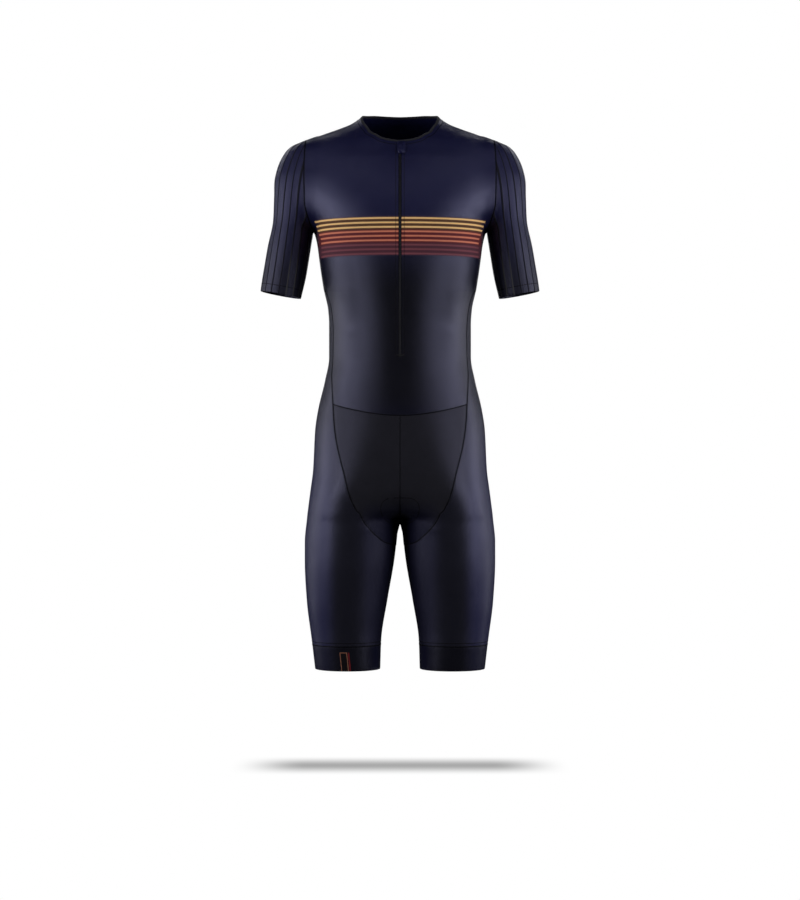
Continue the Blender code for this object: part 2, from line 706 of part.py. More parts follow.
def brief_rows(seams, name, waist):
    """Rows from the side panel's seam to the middle line, from the waist to the inseam."""
    rows = [waist[WAIST_STOPS]]
    shares = BRIEF_SHARES[:, None]
    for edge, middle in list(zip(seams[name + "_panel"], seams[name + "_middle"]))[1:-1]:
        rays = edge * (1 - shares) + middle * shares - HIP_PIVOT
        size = np.linalg.norm(rays, axis=1)
        row = cast(HIP_PIVOT + 0 * rays, rays / size[:, None], size * 1.3 + 12, trunk_and_legs)
        row[0], row[-1] = edge, middle
        rows.append(row)
    return rows + [seams["inseam"][::-1]]


def brief_and_seat(seams, front_waist, back_waist):
    """Two front pieces that meet at a centre seam, and a seat in one piece."""
    front_line = np.vstack([front_waist, seams["front_middle"][:1]])
    front = brief_rows(seams, "front", front_line)
    back = brief_rows(seams, "back", back_waist)
    seat_pad(front, back)
    for name, flip in HANDS:
        cloth = Cloth()
        cloth.net(front)
        cloth.follow(front_line)
        cloth.wall("front_brief_" + name, "charcoal", flip)
    cloth = Cloth()
    cloth.net([np.vstack([row, mirror(row[::-1])[1:]]) for row in back])
    cloth.follow(back_waist)
    cloth.follow(mirror(back_waist))
    cloth.wall("seat_back", "charcoal")
    return front, back


def seat_pad(front, back):
    """The pad inside the brief and seat, on the same points, either side of the middle."""
    cloth = Cloth()
    for rows, first in ((front, PAD_FRONT_ROW), (back, PAD_BACK_ROW)):
        half = [row[-PAD_COLUMNS:] for row in rows[first:]]
        cloth.net([np.vstack([row, mirror(row[::-1])[1:]]) for row in half])
    solid_shell("seat_pad", cloth, -(CLOTH + PAD_GAP + PAD_THICKNESS), PAD_THICKNESS, "trim")


def outer_row(start, end, middle_x, outside, closed):
    """A row round the outside of the hip or leg, from the front seam to the back seam."""
    shares = np.linspace(0, 1, LEG_COLUMNS + 1)
    first = math.atan2(start[0] - middle_x, -start[1])
    last = math.atan2(end[0] - middle_x, -end[1])
    if last < first:
        last += 2 * math.pi
    if closed:
        first, last = -math.pi / 2, 1.5 * math.pi
    bearing = first + (last - first) * shares
    ends = start[2] + (end[2] - start[2]) * shares
    height = ends + (outside - ends) * np.clip(np.sin(math.pi * shares), 0, 1) ** 0.6
    starts = np.stack([0 * height + middle_x, 0 * height, height], axis=1)
    rays = np.stack([np.sin(bearing), -np.cos(bearing), 0 * bearing], axis=1)
    row = cast(starts, rays, HIP_REACH - middle_x, trunk_and_legs)
    row[0], row[-1] = start, end
    return row


def leg_ring(heights):
    """A closed ring round a leg from the inseam, with a height for each point."""
    shares = np.linspace(0, 1, LEG_COLUMNS + 1)
    heights = heights + 0 * shares
    bearing = 2 * math.pi * shares - math.pi / 2
    starts = np.stack([BODY.at(heights)["lobe"], 0 * shares, heights], axis=1)
    rays = np.stack([np.sin(bearing), -np.cos(bearing), 0 * bearing], axis=1)
    row = cast(starts, rays, 140.0, trunk_and_legs)
    row[-1] = row[0]
    return row


def legs(seams):
    """A side panel and leg in one piece from its tip to the band, and the band, on each side."""
    tip = seams["front_edge"][TIP_ROW]
    rows = [np.tile(tip, (LEG_COLUMNS + 1, 1))]
    for number in range(TIP_ROW + 1, len(TRUNK_ROWS) - 1):
        edges = seams["front_edge"][number], seams["back_edge"][number]
        rows.append(outer_row(*edges, 0.0, TRUNK_ROWS[number][0], False))
    for number, (_, _, outside) in enumerate(BRIEF_ROWS):
        edges = seams["front_panel"][number], seams["back_panel"][number]
        lobe = float(BODY.at(outside)["lobe"])
        rows.append(outer_row(*edges, lobe, outside, number == len(BRIEF_ROWS) - 1))
    last = rows[-1][:, 2]
    for step in range(1, LEG_LOWER_ROWS + 1):
        share = step / LEG_LOWER_ROWS
        rows.append(leg_ring(last * (1 - share) + BAND_SEAM * share))
    band = [leg_ring(BAND_SEAM + (LEG_HEM - BAND_SEAM) * i / BAND_ROWS) for i in range(BAND_ROWS + 1)]
    for name, flip in HANDS:
        leg = Cloth()
        leg.net(rows)
        leg.wall("side_leg_" + name, "navy", flip)
        hem = Cloth()
        hem.net(band)
        hem.wall("leg_band_" + name, "charcoal", flip)


# ---- Sleeves ----

def sleeves(seams):
    """Each sleeve is one ribbed tube, plain inside; the ribs run out of the sleeve seam."""
    raised = sleeve_stations()[:, 1] * RIB_HEIGHT
    raised = np.r_[raised, raised[0]]
    start = np.vstack([seams["armhole"], seams["armhole"][:1]])
    end = np.vstack([seams["cuff"], seams["cuff"][:1]])
    rows, lifts = [start], [0 * raised]
    for share in SLEEVE_SHARES:
        near = start * (1 - share) + end * share
        middle = SLEEVE_PIVOT * (1 - share) + end[:-1].mean(axis=0) * share
        rays = (near - middle) / np.linalg.norm(near - middle, axis=1)[:, None]
        over = np.clip(rays[:, 2:] / 0.6 + 0.3, 0, 1)
        cap = cast(middle + 0 * rays, rays, 140.0)
        rows.append(settle(cap * over + settle(near, 10) * (1 - over), 6))
        lifts.append(raised)
    for name, flip in HANDS:
        cloth = Cloth()
        cloth.net(rows + [end], lifts + [raised])
        cloth.wall("sleeve_" + name, "charcoal", flip)


# ---- Neck edge and zip ----

def neck_binding(seams):
    """A rounded edge round the neck, open at the zip."""
    half = np.vstack([front_neck(seams)[::-1], seams["neck"][SHOULDER_STOP + 1:]])
    half[0] = on_skin(BINDING_END, half[0][2], -1)[0]
    loop = np.vstack([half, mirror(half[::-1])[1:]])
    normals = outward(loop)
    along = np.vstack([loop[1] - loop[0], loop[2:] - loop[:-2], loop[-1] - loop[-2]])
    up = np.cross(along, normals)
    up /= np.linalg.norm(up, axis=1)[:, None]
    up *= np.sign(up[len(up) // 2][2])
    rings = []
    for point, normal, rise in zip(loop, normals, up):
        middle = point + rise * (SEAM_GAP + BINDING_HEIGHT) / 2 - normal * CLOTH / 2
        rings.append([middle + normal * out * BINDING_THICKNESS + rise * lift * BINDING_HEIGHT
                      for out, lift in BINDING_PROFILE])
    ring_solid("neck_binding", rings, "trim")


def zip_line(rows):
    """Points and outward directions down the edge of the zip opening, and the next column's."""
    opening_row = len(TRUNK_ROWS) - 1 - ZIP_BOTTOM_ROW
    edge = np.array([row[-1] for row in rows[opening_row:]])[::-1]
    beside = np.array([row[-2] for row in rows[opening_row:]])[::-1]
    return edge, beside, outward(edge)


def zip_fastener(rows):
    """Two tapes behind the fronts, the closed row of teeth in the opening, slider and garage."""
    edge, beside, normals = zip_line(rows)
    across = (beside - edge) / (beside - edge)[:, :1]
    for name, flip in HANDS:
        rings = []
        for point, side, normal in zip(edge, across, normals):
            ring = []
            for x, depth in ((TAPE[0], TAPE[2]), (TAPE[1], TAPE[2]), (TAPE[1], TAPE[3]),
                             (TAPE[0], TAPE[3])):
                ring.append(point + side * (x - ZIP_OPENING / 2) + normal * depth)
            rings.append(ring)
        ring_solid("zip_tape_" + name, rings, "zip", flip)
    middle = edge * (0.0, 1.0, 1.0)
    middle[-1] = middle[-2] + (middle[-1] - middle[-2]) * TEETH_END_SHARE
    box_strip("zip_teeth", middle, normals, TEETH, "zip")
    place, direction = point_down(middle, SLIDER_DROP)
    slider_line = [place, place + direction * SLIDER_LENGTH]
    slider_normal = np.cross(direction, (1.0, 0.0, 0.0))
    slider_normal *= -np.sign(slider_normal[1])
    box_strip("zip_slider", slider_line, [slider_normal] * 2, SLIDER, "zip")
    garage(middle)


def point_down(line, drop):
    """A place on the zip line at a drop below its top, and the direction down there."""
    lengths = np.r_[0, np.cumsum(np.linalg.norm(np.diff(line, axis=0), axis=1))]
    place = np.array([np.interp(drop, lengths, line[:, i]) for i in range(3)])
    ahead = np.array([np.interp(drop + 8, lengths, line[:, i]) for i in range(3)])
    return place, (ahead - place) / np.linalg.norm(ahead - place)


def box_strip(name, line, normals, size, colour):
    """A flat strip along the zip: half its width, and its lower and upper side."""
    half, low, high = size
    rings = []
    for point, normal in zip(line, normals):
        rings.append([point + np.array((x, 0, 0)) + normal * out
                      for x, out in ((-half, low), (half, low), (half * 0.8, high), (-half * 0.8, high))])
    ring_solid(name, rings, colour)


def garage(middle):
    """The flap that covers the slider: flat at its sides and raised along its middle."""
    cloth = Cloth()
    rows, raised = [], []
    for drop, half, lift in GARAGE_ROWS:
        place, direction = point_down(middle, drop)
        row = [(GARAGE_CENTRE + share * half, place[1], place[2]) for share in GARAGE_SHARES]
        rows.append(settle([on_skin(abs(x), z, -1)[0] * (1 if x > 0 else -1, 1, 1) for x, _, z in row], 2))
        raised.append([lift * share for share in GARAGE_PROFILE])
    cloth.net(rows)
    solid_shell("zip_garage", cloth, SEAT_GAP + np.ravel(raised), GARAGE_CLOTH, "navy")


def build():
    for old in list(bpy.data.objects):
        bpy.data.objects.remove(old, do_unlink=True)
    seams = left_seams()
    front = front_body(seams)
    back = back_body(seams)
    brief_and_seat(seams, front[0], back[0])
    legs(seams)
    sleeves(seams)
    neck_binding(seams)
    zip_fastener(front)


build()
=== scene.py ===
# Short-sleeved triathlon suit, hollow and filled out, with ribbed sleeves and a front zip
import math

import bpy
import numpy as np
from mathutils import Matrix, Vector


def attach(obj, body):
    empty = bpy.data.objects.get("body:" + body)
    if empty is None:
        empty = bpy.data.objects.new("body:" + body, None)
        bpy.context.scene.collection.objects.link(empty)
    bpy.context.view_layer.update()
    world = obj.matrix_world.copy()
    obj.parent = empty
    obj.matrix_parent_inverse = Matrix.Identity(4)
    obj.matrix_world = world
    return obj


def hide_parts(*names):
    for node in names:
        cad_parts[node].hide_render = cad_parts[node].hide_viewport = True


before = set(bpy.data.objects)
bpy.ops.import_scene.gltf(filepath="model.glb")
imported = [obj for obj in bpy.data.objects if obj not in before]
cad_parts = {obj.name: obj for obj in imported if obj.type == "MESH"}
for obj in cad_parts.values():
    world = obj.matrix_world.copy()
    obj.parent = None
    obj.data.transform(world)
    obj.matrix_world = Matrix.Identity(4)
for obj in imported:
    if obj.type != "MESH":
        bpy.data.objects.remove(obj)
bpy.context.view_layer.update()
print("frame loaded:", len(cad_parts), "nodes")

# ---------- camera, floor and light, metres ----------

studio = {
    "distance": 4.0, "eyeHeight": -0.576, "lens": 88.9,
    "floorHeight": -1.145, "floorReach": 30.0,
    "shadowAcross": (0.165, 0.310), "shadowDeep": 0.125, "shadowMiddle": 0.010, "shadowDark": 0.60,
    "paleForEye": 1.0, "paleForCloth": 0.020,
    "pairs": (  # name, place and aim of the left one, width, height, watts
        ("Key", (2.03, -1.02, -0.46), (0.0, 0.0, -0.46), 1.05, 0.76, 17.5),
        ("Upper", (1.98, -1.18, 0.14), (0.0, 0.0, -0.18), 1.3, 0.8, 9),
        ("Side", (2.1, 0.60, -0.50), (0.0, 0.0, -0.50), 1.3, 1.5, 14),
        ("Top", (1.0, 1.3, 0.8), (0.15, 0.0, -0.05), 0.8, 0.8, 5),
        ("High", (1.5, -1.7, 1.7), (0.08, 0.0, -0.10), 1.2, 1.2, 6.8),
    ),
    "back": ("backSoft", (0.0, 2.8, 0.3), (0.0, 0.0, -0.5), 1.8, 1.2, 8),
}

# ---------- node trees: one wrapper for sockets, one for trees ----------


class Wire:  # an output socket that takes part in sums
    def __init__(self, net, socket):
        self.net, self.socket = net, socket

    def sum(self, operation, *others):
        return self.net.math(operation, self, *others)

    def __add__(self, other):
        return self.sum("ADD", other)

    def __sub__(self, other):
        return self.sum("SUBTRACT", other)

    def __rsub__(self, other):
        return self.net.math("SUBTRACT", other, self)

    def __mul__(self, other):
        return self.sum("MULTIPLY", other)

    def __truediv__(self, other):
        return self.sum("DIVIDE", other)

    def __lt__(self, other):
        return self.sum("LESS_THAN", other)

    def __gt__(self, other):
        return self.sum("GREATER_THAN", other)

    def __abs__(self):
        return self.sum("ABSOLUTE")

    __radd__, __rmul__ = __add__, __mul__

    def smooth(self, low, high):  # 0 below low, 1 above high, soft between
        inputs = {"Value": self, "From Min": low, "From Max": high}
        return self.net.node("ShaderNodeMapRange", inputs, interpolation_type="SMOOTHSTEP")

    def wave(self, pitch):  # distance from the nearest whole pitch, 0 to a half
        return abs((self / pitch + 0.5).sum("FRACT") - 0.5)

    def into(self, node, key):
        self.net.tree.links.new(self.socket, node.inputs[key])


class Net:
    def __init__(self, tree):
        self.tree = tree

    def node(self, kind, inputs=None, out=0, **settings):
        made = self.tree.nodes.new(kind)
        for key, value in settings.items():
            setattr(made, key, value)
        for key, value in (inputs or {}).items():
            if isinstance(value, Wire):
                value.into(made, key)
            else:
                made.inputs[key].default_value = value
        return Wire(self, made.outputs[out])

    def math(self, operation, *values):
        return self.node("ShaderNodeMath", dict(enumerate(values)), operation=operation)

    def parts(self, vector):  # x, y and z of a vector
        made = self.node("ShaderNodeSeparateXYZ", {0: vector})
        return [Wire(self, output) for output in made.socket.node.outputs]

    def place(self):  # in the piece's own space
        return self.node("ShaderNodeTexCoord", out=3)

    def cut(self):  # on the cloth as it lies before sewing
        return self.node("ShaderNodeUVMap", uv_map="cut")

    def noise(self, vector, scale, detail=3.0):
        return self.node("ShaderNodeTexNoise", {"Vector": vector, "Scale": scale, "Detail": detail})

    def bump(self, height, strength, distance):
        return self.node("ShaderNodeBump", {"Strength": strength, "Distance": distance, "Height": height})

    def mixColours(self, share, first, second):
        first, second = (value if isinstance(value, Wire) else (*value, 1.0) for value in (first, second))
        return self.node("ShaderNodeMix", {0: share, 6: first, 7: second}, 2, data_type="RGBA")

    def ramp(self, share, stops, colours):
        made = self.node("ShaderNodeValToRGB", {0: share})
        elements = made.socket.node.color_ramp.elements
        while len(elements) < len(stops):
            elements.new(0.5)
        for n, (element, stop) in enumerate(zip(elements, stops)):
            element.position = stop
            element.color = (*colours[n * len(colours) // len(stops)], 1.0)
        return made


def newMaterial(name, fixed):
    made = bpy.data.materials.new(name)
    made.use_nodes = True
    shader = made.node_tree.nodes["Principled BSDF"]
    for key, value in fixed.items():
        shader.inputs[key].default_value = value
    return made, Net(made.node_tree), shader


# ---------- cloth and trim finishes ----------

# dyes of the cloth, with painted shade: the near-black middle of the trunk below the chest and the dark inner thighs
dyesAndPaintedShade = {
    "navy": (0.0070, 0.0075, 0.0400), "charcoal": (0.0075, 0.0076, 0.0135), "black": (0.0035, 0.0035, 0.0050),
    "brief": (0.0150, 0.0147, 0.0190), "legNavy": (0.0062, 0.0066, 0.0380),
    "legMiddle": (0.0100, 0.0100, 0.0160), "legAcross": (0.088, 0.020, 0.050),
    # painted shade: the middle of the trunk below the chest, front and back, darkened towards near black; how far
    # across and how high it reaches
    "core": (0.0014, 0.0014, 0.0020), "paintedMiddleShadeAcross": (0.018, 0.070), "paintedMiddleShadeHeight": (-0.300, -0.215),
    # painted shade: the inner thighs darkened towards near-black navy, and made rougher there
    "inner": (0.0010, 0.0010, 0.0100), "thighShadeAcross": (0.042, 0.085), "thighShadeHeight": (-0.710, -0.655),
    "thighShadeMatt": 0.20, "bandDark": 0.6,
    "chestHeight": (-0.300, -0.130), "hipHeight": (-0.640, -0.470),
    "shine": {"brief": 0.30, "band": 0.22}, "usualShine": 0.5, "specularTint": (0.64, 0.64, 1.0, 1.0),
    "sheen": 0.03, "sheenTint": (0.6, 0.64, 1.0, 1.0), "sheenRoughness": 0.45,
}

knitting = {  # metres, then how much each pattern adds to relief, roughness and colour: painted shade in the grooves between wales and courses, random tone from the blotches
    "wale": 0.0011, "course": 0.0009, "relief": 0.00024, "strength": 0.55,
    "driftScale": 160.0, "blotchScale": 22.0, "blotchDetail": 4.0,
    "waleRise": 1.4, "courseRise": 0.8, "driftRise": 0.5,
    "roughness": 0.34, "blotchRough": 0.10, "waleRough": 0.05,
    "shadeLeast": 0.80, "waleShade": 0.24, "courseShade": 0.10, "blotchShade": 0.22,
}

stripes = {
    "top": -0.1697, "pitch": 0.00780, "count": 9, "half": 0.00155, "edge": 0.0004, "matt": 0.45,
    "stops": (0.0, 0.30, 0.36, 0.64, 0.70, 1.0),  # two for each colour
    "colours": ((0.98, 0.60, 0.24), (0.68, 0.20, 0.11), (0.19, 0.050, 0.058)),
    "grounds": ((0.105, 0.048, 0.012), (0.12, 0.016, 0.011), (0.075, 0.018, 0.024)),
    "endTop": 0.1520, "endLean": 0.35, "endLeast": 0.1400, "endFade": 0.012, "glowEdge": (0.002, 0.004),
}

label = {  # a bare woven label on the wearer's right leg band, and the stripe beside it
    "top": -0.9350, "middle": -0.1006, "half": 0.0065, "line": 0.0011, "lean": 0.10, "stripe": 0.0092,
    "stripeHalf": 0.0013, "edgeColour": (0.340, 0.150, 0.095), "stripeColour": (0.160, 0.016, 0.018),
    "groundColour": (0.008, 0.006, 0.006),
}


def knit(net, shader, body, matt):
    place = net.cut()
    across, along, _ = net.parts(place)
    near = across.wave(knitting["wale"])
    wale, course = 0.5 - near, 0.5 - (along + near * knitting["course"]).wave(knitting["course"])
    drift = net.noise(place, knitting["driftScale"])
    height = wale * knitting["waleRise"] + course * knitting["courseRise"] + drift * knitting["driftRise"]
    net.bump(height, knitting["strength"], knitting["relief"]).into(shader, "Normal")
    blotch = net.noise(place, knitting["blotchScale"], knitting["blotchDetail"])
    uneven = (blotch - 0.5) * knitting["blotchRough"] + wale * knitting["waleRough"]
    (uneven + knitting["roughness"] + matt).into(shader, "Roughness")
    # painted shade: colour darker in the grooves between wales and courses and lighter on the raised loops; the
    # blotches add random tone
    shade = wale * knitting["waleShade"] + course * knitting["courseShade"]
    shade = shade + blotch * knitting["blotchShade"] + knitting["shadeLeast"]
    net.node("ShaderNodeVectorMath", {0: body, "Scale": shade}, operation="SCALE").into(shader, "Base Color")


def suitDyeAndPaintedShade(net, off, height):
    chest = height.smooth(*dyesAndPaintedShade["chestHeight"])
    legs = 1.0 - height.smooth(*dyesAndPaintedShade["hipHeight"])
    # painted shade down the middle of the trunk below the chest
    core = (1.0 - off.smooth(*dyesAndPaintedShade["paintedMiddleShadeAcross"])) * (1.0 - height.smooth(*dyesAndPaintedShade["paintedMiddleShadeHeight"]))
    body = net.mixColours(chest, net.mixColours(core, dyesAndPaintedShade["charcoal"], dyesAndPaintedShade["core"]), dyesAndPaintedShade["navy"])
    middle, near, far = dyesAndPaintedShade["legAcross"]
    edges = abs(off - middle).smooth(near, far)
    return net.mixColours(legs, body, net.mixColours(edges, dyesAndPaintedShade["legMiddle"], dyesAndPaintedShade["legNavy"]))


def clothMaterial(name, kind):
    made, net, shader = newMaterial(name, {
        "Sheen Weight": dyesAndPaintedShade["sheen"], "Sheen Roughness": dyesAndPaintedShade["sheenRoughness"], "Sheen Tint": dyesAndPaintedShade["sheenTint"],
        "Specular Tint": dyesAndPaintedShade["specularTint"], "Specular IOR Level": dyesAndPaintedShade["shine"].get(kind, dyesAndPaintedShade["usualShine"])})
    x, y, z = net.parts(net.place())
    off = abs(x)
    body, matt = dyesAndPaintedShade["brief"] if kind == "brief" else suitDyeAndPaintedShade(net, off, z), 0.0
    if kind in ("plain", "brief"):
        # painted shade on the inner thighs, with rougher cloth there to dull their highlight
        inner = (1.0 - off.smooth(*dyesAndPaintedShade["thighShadeAcross"])) * (1.0 - z.smooth(*dyesAndPaintedShade["thighShadeHeight"]))
        body, matt = net.mixColours(inner, body, dyesAndPaintedShade["inner"]), inner * dyesAndPaintedShade["thighShadeMatt"]
    if kind == "chest":
        body, matt = printStripes(net, body, off, z)
    if kind == "band":
        body = printLabel(net, net.mixColours(dyesAndPaintedShade["bandDark"], body, dyesAndPaintedShade["black"]), x, y, z)
    if kind == "ribbed":
        body, matt = ribLinesAndPaintedHighlight(net, body, z)
    knit(net, shader, body, matt)
    return made


def ribLinesAndPaintedHighlight(net, body, z):  # dark on each crest; painted highlight: paler crests on the inner side low on the sleeve, where it lies in shade
    across, _, _ = net.parts(net.cut())
    crest = across.wave(sleeveCut["flatWidth"] / sleeveCut["ribs"]).smooth(*sleeveCut["crestWidth"])
    start, full, fading, end = (share * sleeveCut["flatWidth"] for share in sleeveCut["ribHighlightAcross"])
    # painted highlight on the inner crests low on the sleeve
    pale = across.smooth(start, full) * (1.0 - across.smooth(fading, end))
    pale = pale * (1.0 - z.smooth(*sleeveCut["ribHighlightHeight"]))
    colour = net.mixColours(pale, dyesAndPaintedShade["black"], sleeveCut["ribHighlightColour"])
    return net.mixColours(crest, body, colour), crest * sleeveCut["crestMatt"] + sleeveCut["matt"]


def printStripes(net, body, off, z):
    half, edge, ends = stripes["half"], stripes["edge"], stripes["endTop"]
    first = stripes["top"] + half * 2
    last = stripes["top"] - stripes["pitch"] * (stripes["count"] - 1) - half * 2
    below = z - stripes["top"]
    mask = 1.0 - (below.wave(stripes["pitch"]) * stripes["pitch"]).smooth(half - edge, half + edge)
    reach = (below * stripes["endLean"] + ends).sum("MAXIMUM", stripes["endLeast"])
    mask = mask * (z < first) * (z > last) * (off < reach)
    place = (first - z) / (first - last)
    near, far = stripes["glowEdge"]
    glow = z.smooth(last - near, last + far) * (1.0 - z.smooth(first - far, first + near))
    glow = glow * (1.0 - off.smooth(ends - stripes["endFade"], ends))
    grounds, colours = (net.ramp(place, stripes["stops"], stripes[key]) for key in ("grounds", "colours"))
    return net.mixColours(mask, net.mixColours(glow, body, grounds), colours), glow * stripes["matt"]


def printLabel(net, body, x, y, z):
    below = label["top"] - z
    aside = x - below * label["lean"] - label["middle"]
    side, beside = abs(aside), abs(aside - label["stripe"])
    front = (below > 0.0) * (y < 0.0)
    inside = (side < label["half"] - label["line"]) * (below > label["line"])
    body = net.mixColours((side < label["half"]) * front, body, label["edgeColour"])
    body = net.mixColours(inside * front, body, label["groundColour"])
    return net.mixColours((beside < label["stripeHalf"]) * front, body, label["stripeColour"])


trimLook = {  # how uneven colour, roughness and relief are
    "wearScale": 60.0, "dark": 0.72, "pale": 1.25, "grainShare": 0.6, "wearShare": 0.3, "roughSpread": 0.16,
    "strength": 0.6, "sheenRoughness": 0.5, "grainScale": 0.5, "reliefScale": 4,
}


def plainMaterial(name, colour, roughness, grain, relief, sheen=0.0, shine=0.3):
    made, net, shader = newMaterial(name, {
        "Sheen Weight": sheen, "Sheen Roughness": trimLook["sheenRoughness"], "Specular IOR Level": shine})
    place = net.place()
    fine, wear = (net.noise(place, scale) for scale in (trimLook["grainScale"] / grain, trimLook["wearScale"]))
    dark, pale = (tuple(part * trimLook[key] for part in colour) for key in ("dark", "pale"))
    body = net.mixColours(fine * trimLook["grainShare"] + wear * trimLook["wearShare"], dark, pale)
    body.into(shader, "Base Color")
    (roughness + (wear - 0.5) * trimLook["roughSpread"]).into(shader, "Roughness")
    net.bump(fine, trimLook["strength"], relief * trimLook["reliefScale"]).into(shader, "Normal")
    return made


# ---------- the figure that the cloth lies on, millimetres ----------

figureSizes = {
    "cleft": 10.0, "armBack": 4.0, "armTop": -12.0, "halvings": 34,
    "trunkColumns": ("halfWidth", "front", "back", "square", "lobe", "bridge", "gap"),
    "trunkRows": (
        (60, 58.0, 40, 46, 2.00, 0, 1, 0), (27, 66.5, 43, 50, 2.00, 0, 1, 0), (11, 86.0, 47, 60, 1.85, 0, 1, 0),
        (0, 113.0, 50, 67, 1.75, 0, 1, 0), (-11, 144.0, 55, 74, 1.75, 0, 1, 0),
        (-22, 166.0, 62, 80, 1.80, 0, 1, 0), (-40, 178.0, 72, 88, 1.90, 0, 1, 0),
        (-60, 180.0, 83, 95, 2.00, 0, 1, 0), (-100, 176.0, 98, 102, 2.15, 0, 1, 0),
        (-140, 166.0, 107, 105, 2.25, 0, 1, 0), (-184, 150.6, 111, 105, 2.30, 0, 1, 0),
        (-195, 149.2, 111, 104.5, 2.30, 0, 1, 0), (-220, 146.7, 111, 103, 2.30, 0, 1, 0),
        (-288, 136.9, 104, 97, 2.30, 0, 1, 0), (-324, 129.3, 100, 93, 2.25, 0, 1, 0),
        (-350, 127.6, 97, 90, 2.20, 0, 1, 0), (-410, 127.6, 93, 88, 2.20, 0, 1, 0),
        (-450, 134.6, 92, 89, 2.20, 0, 1, 0), (-504, 147.3, 93, 96, 2.25, 0, 1, 0),
        (-540, 152.6, 94, 103, 2.30, 10, 1, 0), (-612, 156.3, 96, 113, 2.35, 45, 1, 0),
        (-648, 160.9, 95, 112, 2.35, 68, 0.985, 0), (-684, 165.6, 91, 106, 2.30, 83, 0.80, 0),
        (-692, 166.6, 90, 104, 2.28, 85, 0.56, 0), (-696, 167.0, 89.4, 103, 2.26, 85.6, 0.34, 0),
        (-698, 167.3, 89, 102, 2.25, 86, 0, 0), (-702, 167.6, 88.5, 101, 2.25, 86, 0, 3.3),
        (-720, 169.7, 87.3, 97, 2.22, 87.2, 0, 4.4),
        (-738, 171.2, 86, 93, 2.20, 88.5, 0, 6.0), (-774, 171.3, 83, 87, 2.20, 91, 0, 10.3),
        (-846, 167.7, 74, 77, 2.15, 95.5, 0, 22.8), (-918, 158.7, 64.5, 67, 2.10, 96.3, 0, 33.8),
        (-975, 152.0, 60, 61.5, 2.10, 93.6, 0, 35.6)),
    "armColumns": ("centre", "halfWidth", "depth", "square"),
    "armRows": (
        (-12, 150.0, 3.0, 4.0, 2.0), (-22, 153.5, 23.0, 26.0, 2.0), (-32, 160.0, 37.8, 34.0, 2.0),
        (-43, 165.0, 43.0, 39.0, 2.0), (-65, 172.3, 46.8, 44.5, 2.0), (-86, 177.0, 47.7, 48.0, 2.1),
        (-119, 183.0, 43.2, 49.0, 2.1), (-162, 188.5, 39.4, 46.5, 2.1), (-184, 195.0, 36.6, 45.5, 2.1),
        (-195, 196.8, 37.6, 45.0, 2.1), (-216, 200.3, 38.5, 44.0, 2.1), (-259, 207.4, 38.7, 41.5, 2.1),
        (-302, 215.5, 37.0, 39.0, 2.1), (-324, 219.5, 36.0, 38.0, 2.1)),
    "filletRows": ((-10, 8.0), (-40, 24.0), (-110, 42.0), (-150, 38.0), (-184, 16.0)),
}


class Table:  # rows read between their keys as smooth curves that never overshoot
    def __init__(self, rows, *names):
        table = np.array(sorted(rows), dtype=float)
        self.names, self.keys, self.values = names, table[:, 0], table[:, 1:]
        rises = np.diff(self.values, axis=0) / np.diff(self.keys)[:, None]
        before, after = rises[:-1], rises[1:]
        together = before * after > 0
        total = np.where(together, before + after, 1.0)
        self.slopes = np.vstack([rises[:1], np.where(together, 2 * before * after / total, 0.0), rises[-1:]])

    def at(self, key):  # a value for each name, or the only one
        key = np.clip(np.asarray(key, dtype=float), self.keys[0], self.keys[-1])
        row = np.clip(np.searchsorted(self.keys, key) - 1, 0, len(self.keys) - 2)
        step = (self.keys[row + 1] - self.keys[row])[..., None]
        t = (key - self.keys[row])[..., None] / step
        value = (self.values[row] * (1 + 2 * t) * (1 - t) ** 2 + self.values[row + 1] * t * t * (3 - 2 * t)
                 + self.slopes[row] * step * t * (1 - t) ** 2 - self.slopes[row + 1] * step * t * t * (1 - t))
        return {name: value[..., n] for n, name in enumerate(self.names)} if self.names else value[..., 0]


trunkTable = Table(figureSizes["trunkRows"], *figureSizes["trunkColumns"])
armTable = Table(figureSizes["armRows"], *figureSizes["armColumns"])
filletTable = Table(figureSizes["filletRows"])


def trunkForm(points):
    x, y, z = points.T
    s, soft = trunkTable.at(z), figureSizes["cleft"]
    square = s["square"]
    reach = np.hypot(x, soft) - s["lobe"]
    outer = np.hypot(s["halfWidth"], soft) - s["lobe"]
    inner = np.maximum(s["lobe"] - np.hypot(s["gap"], soft), 1.0)
    pinch = (1 - np.clip(s["bridge"], 0, 1) ** square) ** (1 / square)
    wide = np.where(reach > 0, reach / outer, -reach * pinch / inner)
    deep = np.where(y < 0, -y / s["front"], y / s["back"])
    return ((wide ** square + deep ** square) ** (1 / square) - 1) * outer


def armForm(points):
    x, y, z = points.T
    s = armTable.at(z)
    wide = np.abs(np.abs(x) - s["centre"]) / s["halfWidth"]
    deep = np.abs(y - figureSizes["armBack"]) / s["depth"]
    ring = (wide ** s["square"] + deep ** s["square"]) ** (1 / s["square"])
    return np.maximum((ring - 1) * s["halfWidth"], z - figureSizes["armTop"])


def figureForm(points):
    trunk, arm = trunkForm(points), armForm(points)
    width = filletTable.at(points[:, 2])
    mix = np.clip(0.5 + 0.5 * (arm - trunk) / width, 0, 1)
    return arm + (trunk - arm) * mix - width * mix * (1 - mix)


def slope(points, step=0.05):
    rises = [figureForm(points + axis * step) - figureForm(points - axis * step) for axis in np.eye(3)]
    return np.stack(rises, axis=1) / (2 * step)


def unit(vectors):
    return vectors / np.linalg.norm(vectors, axis=-1, keepdims=True)


def outward(points):
    return unit(slope(points))


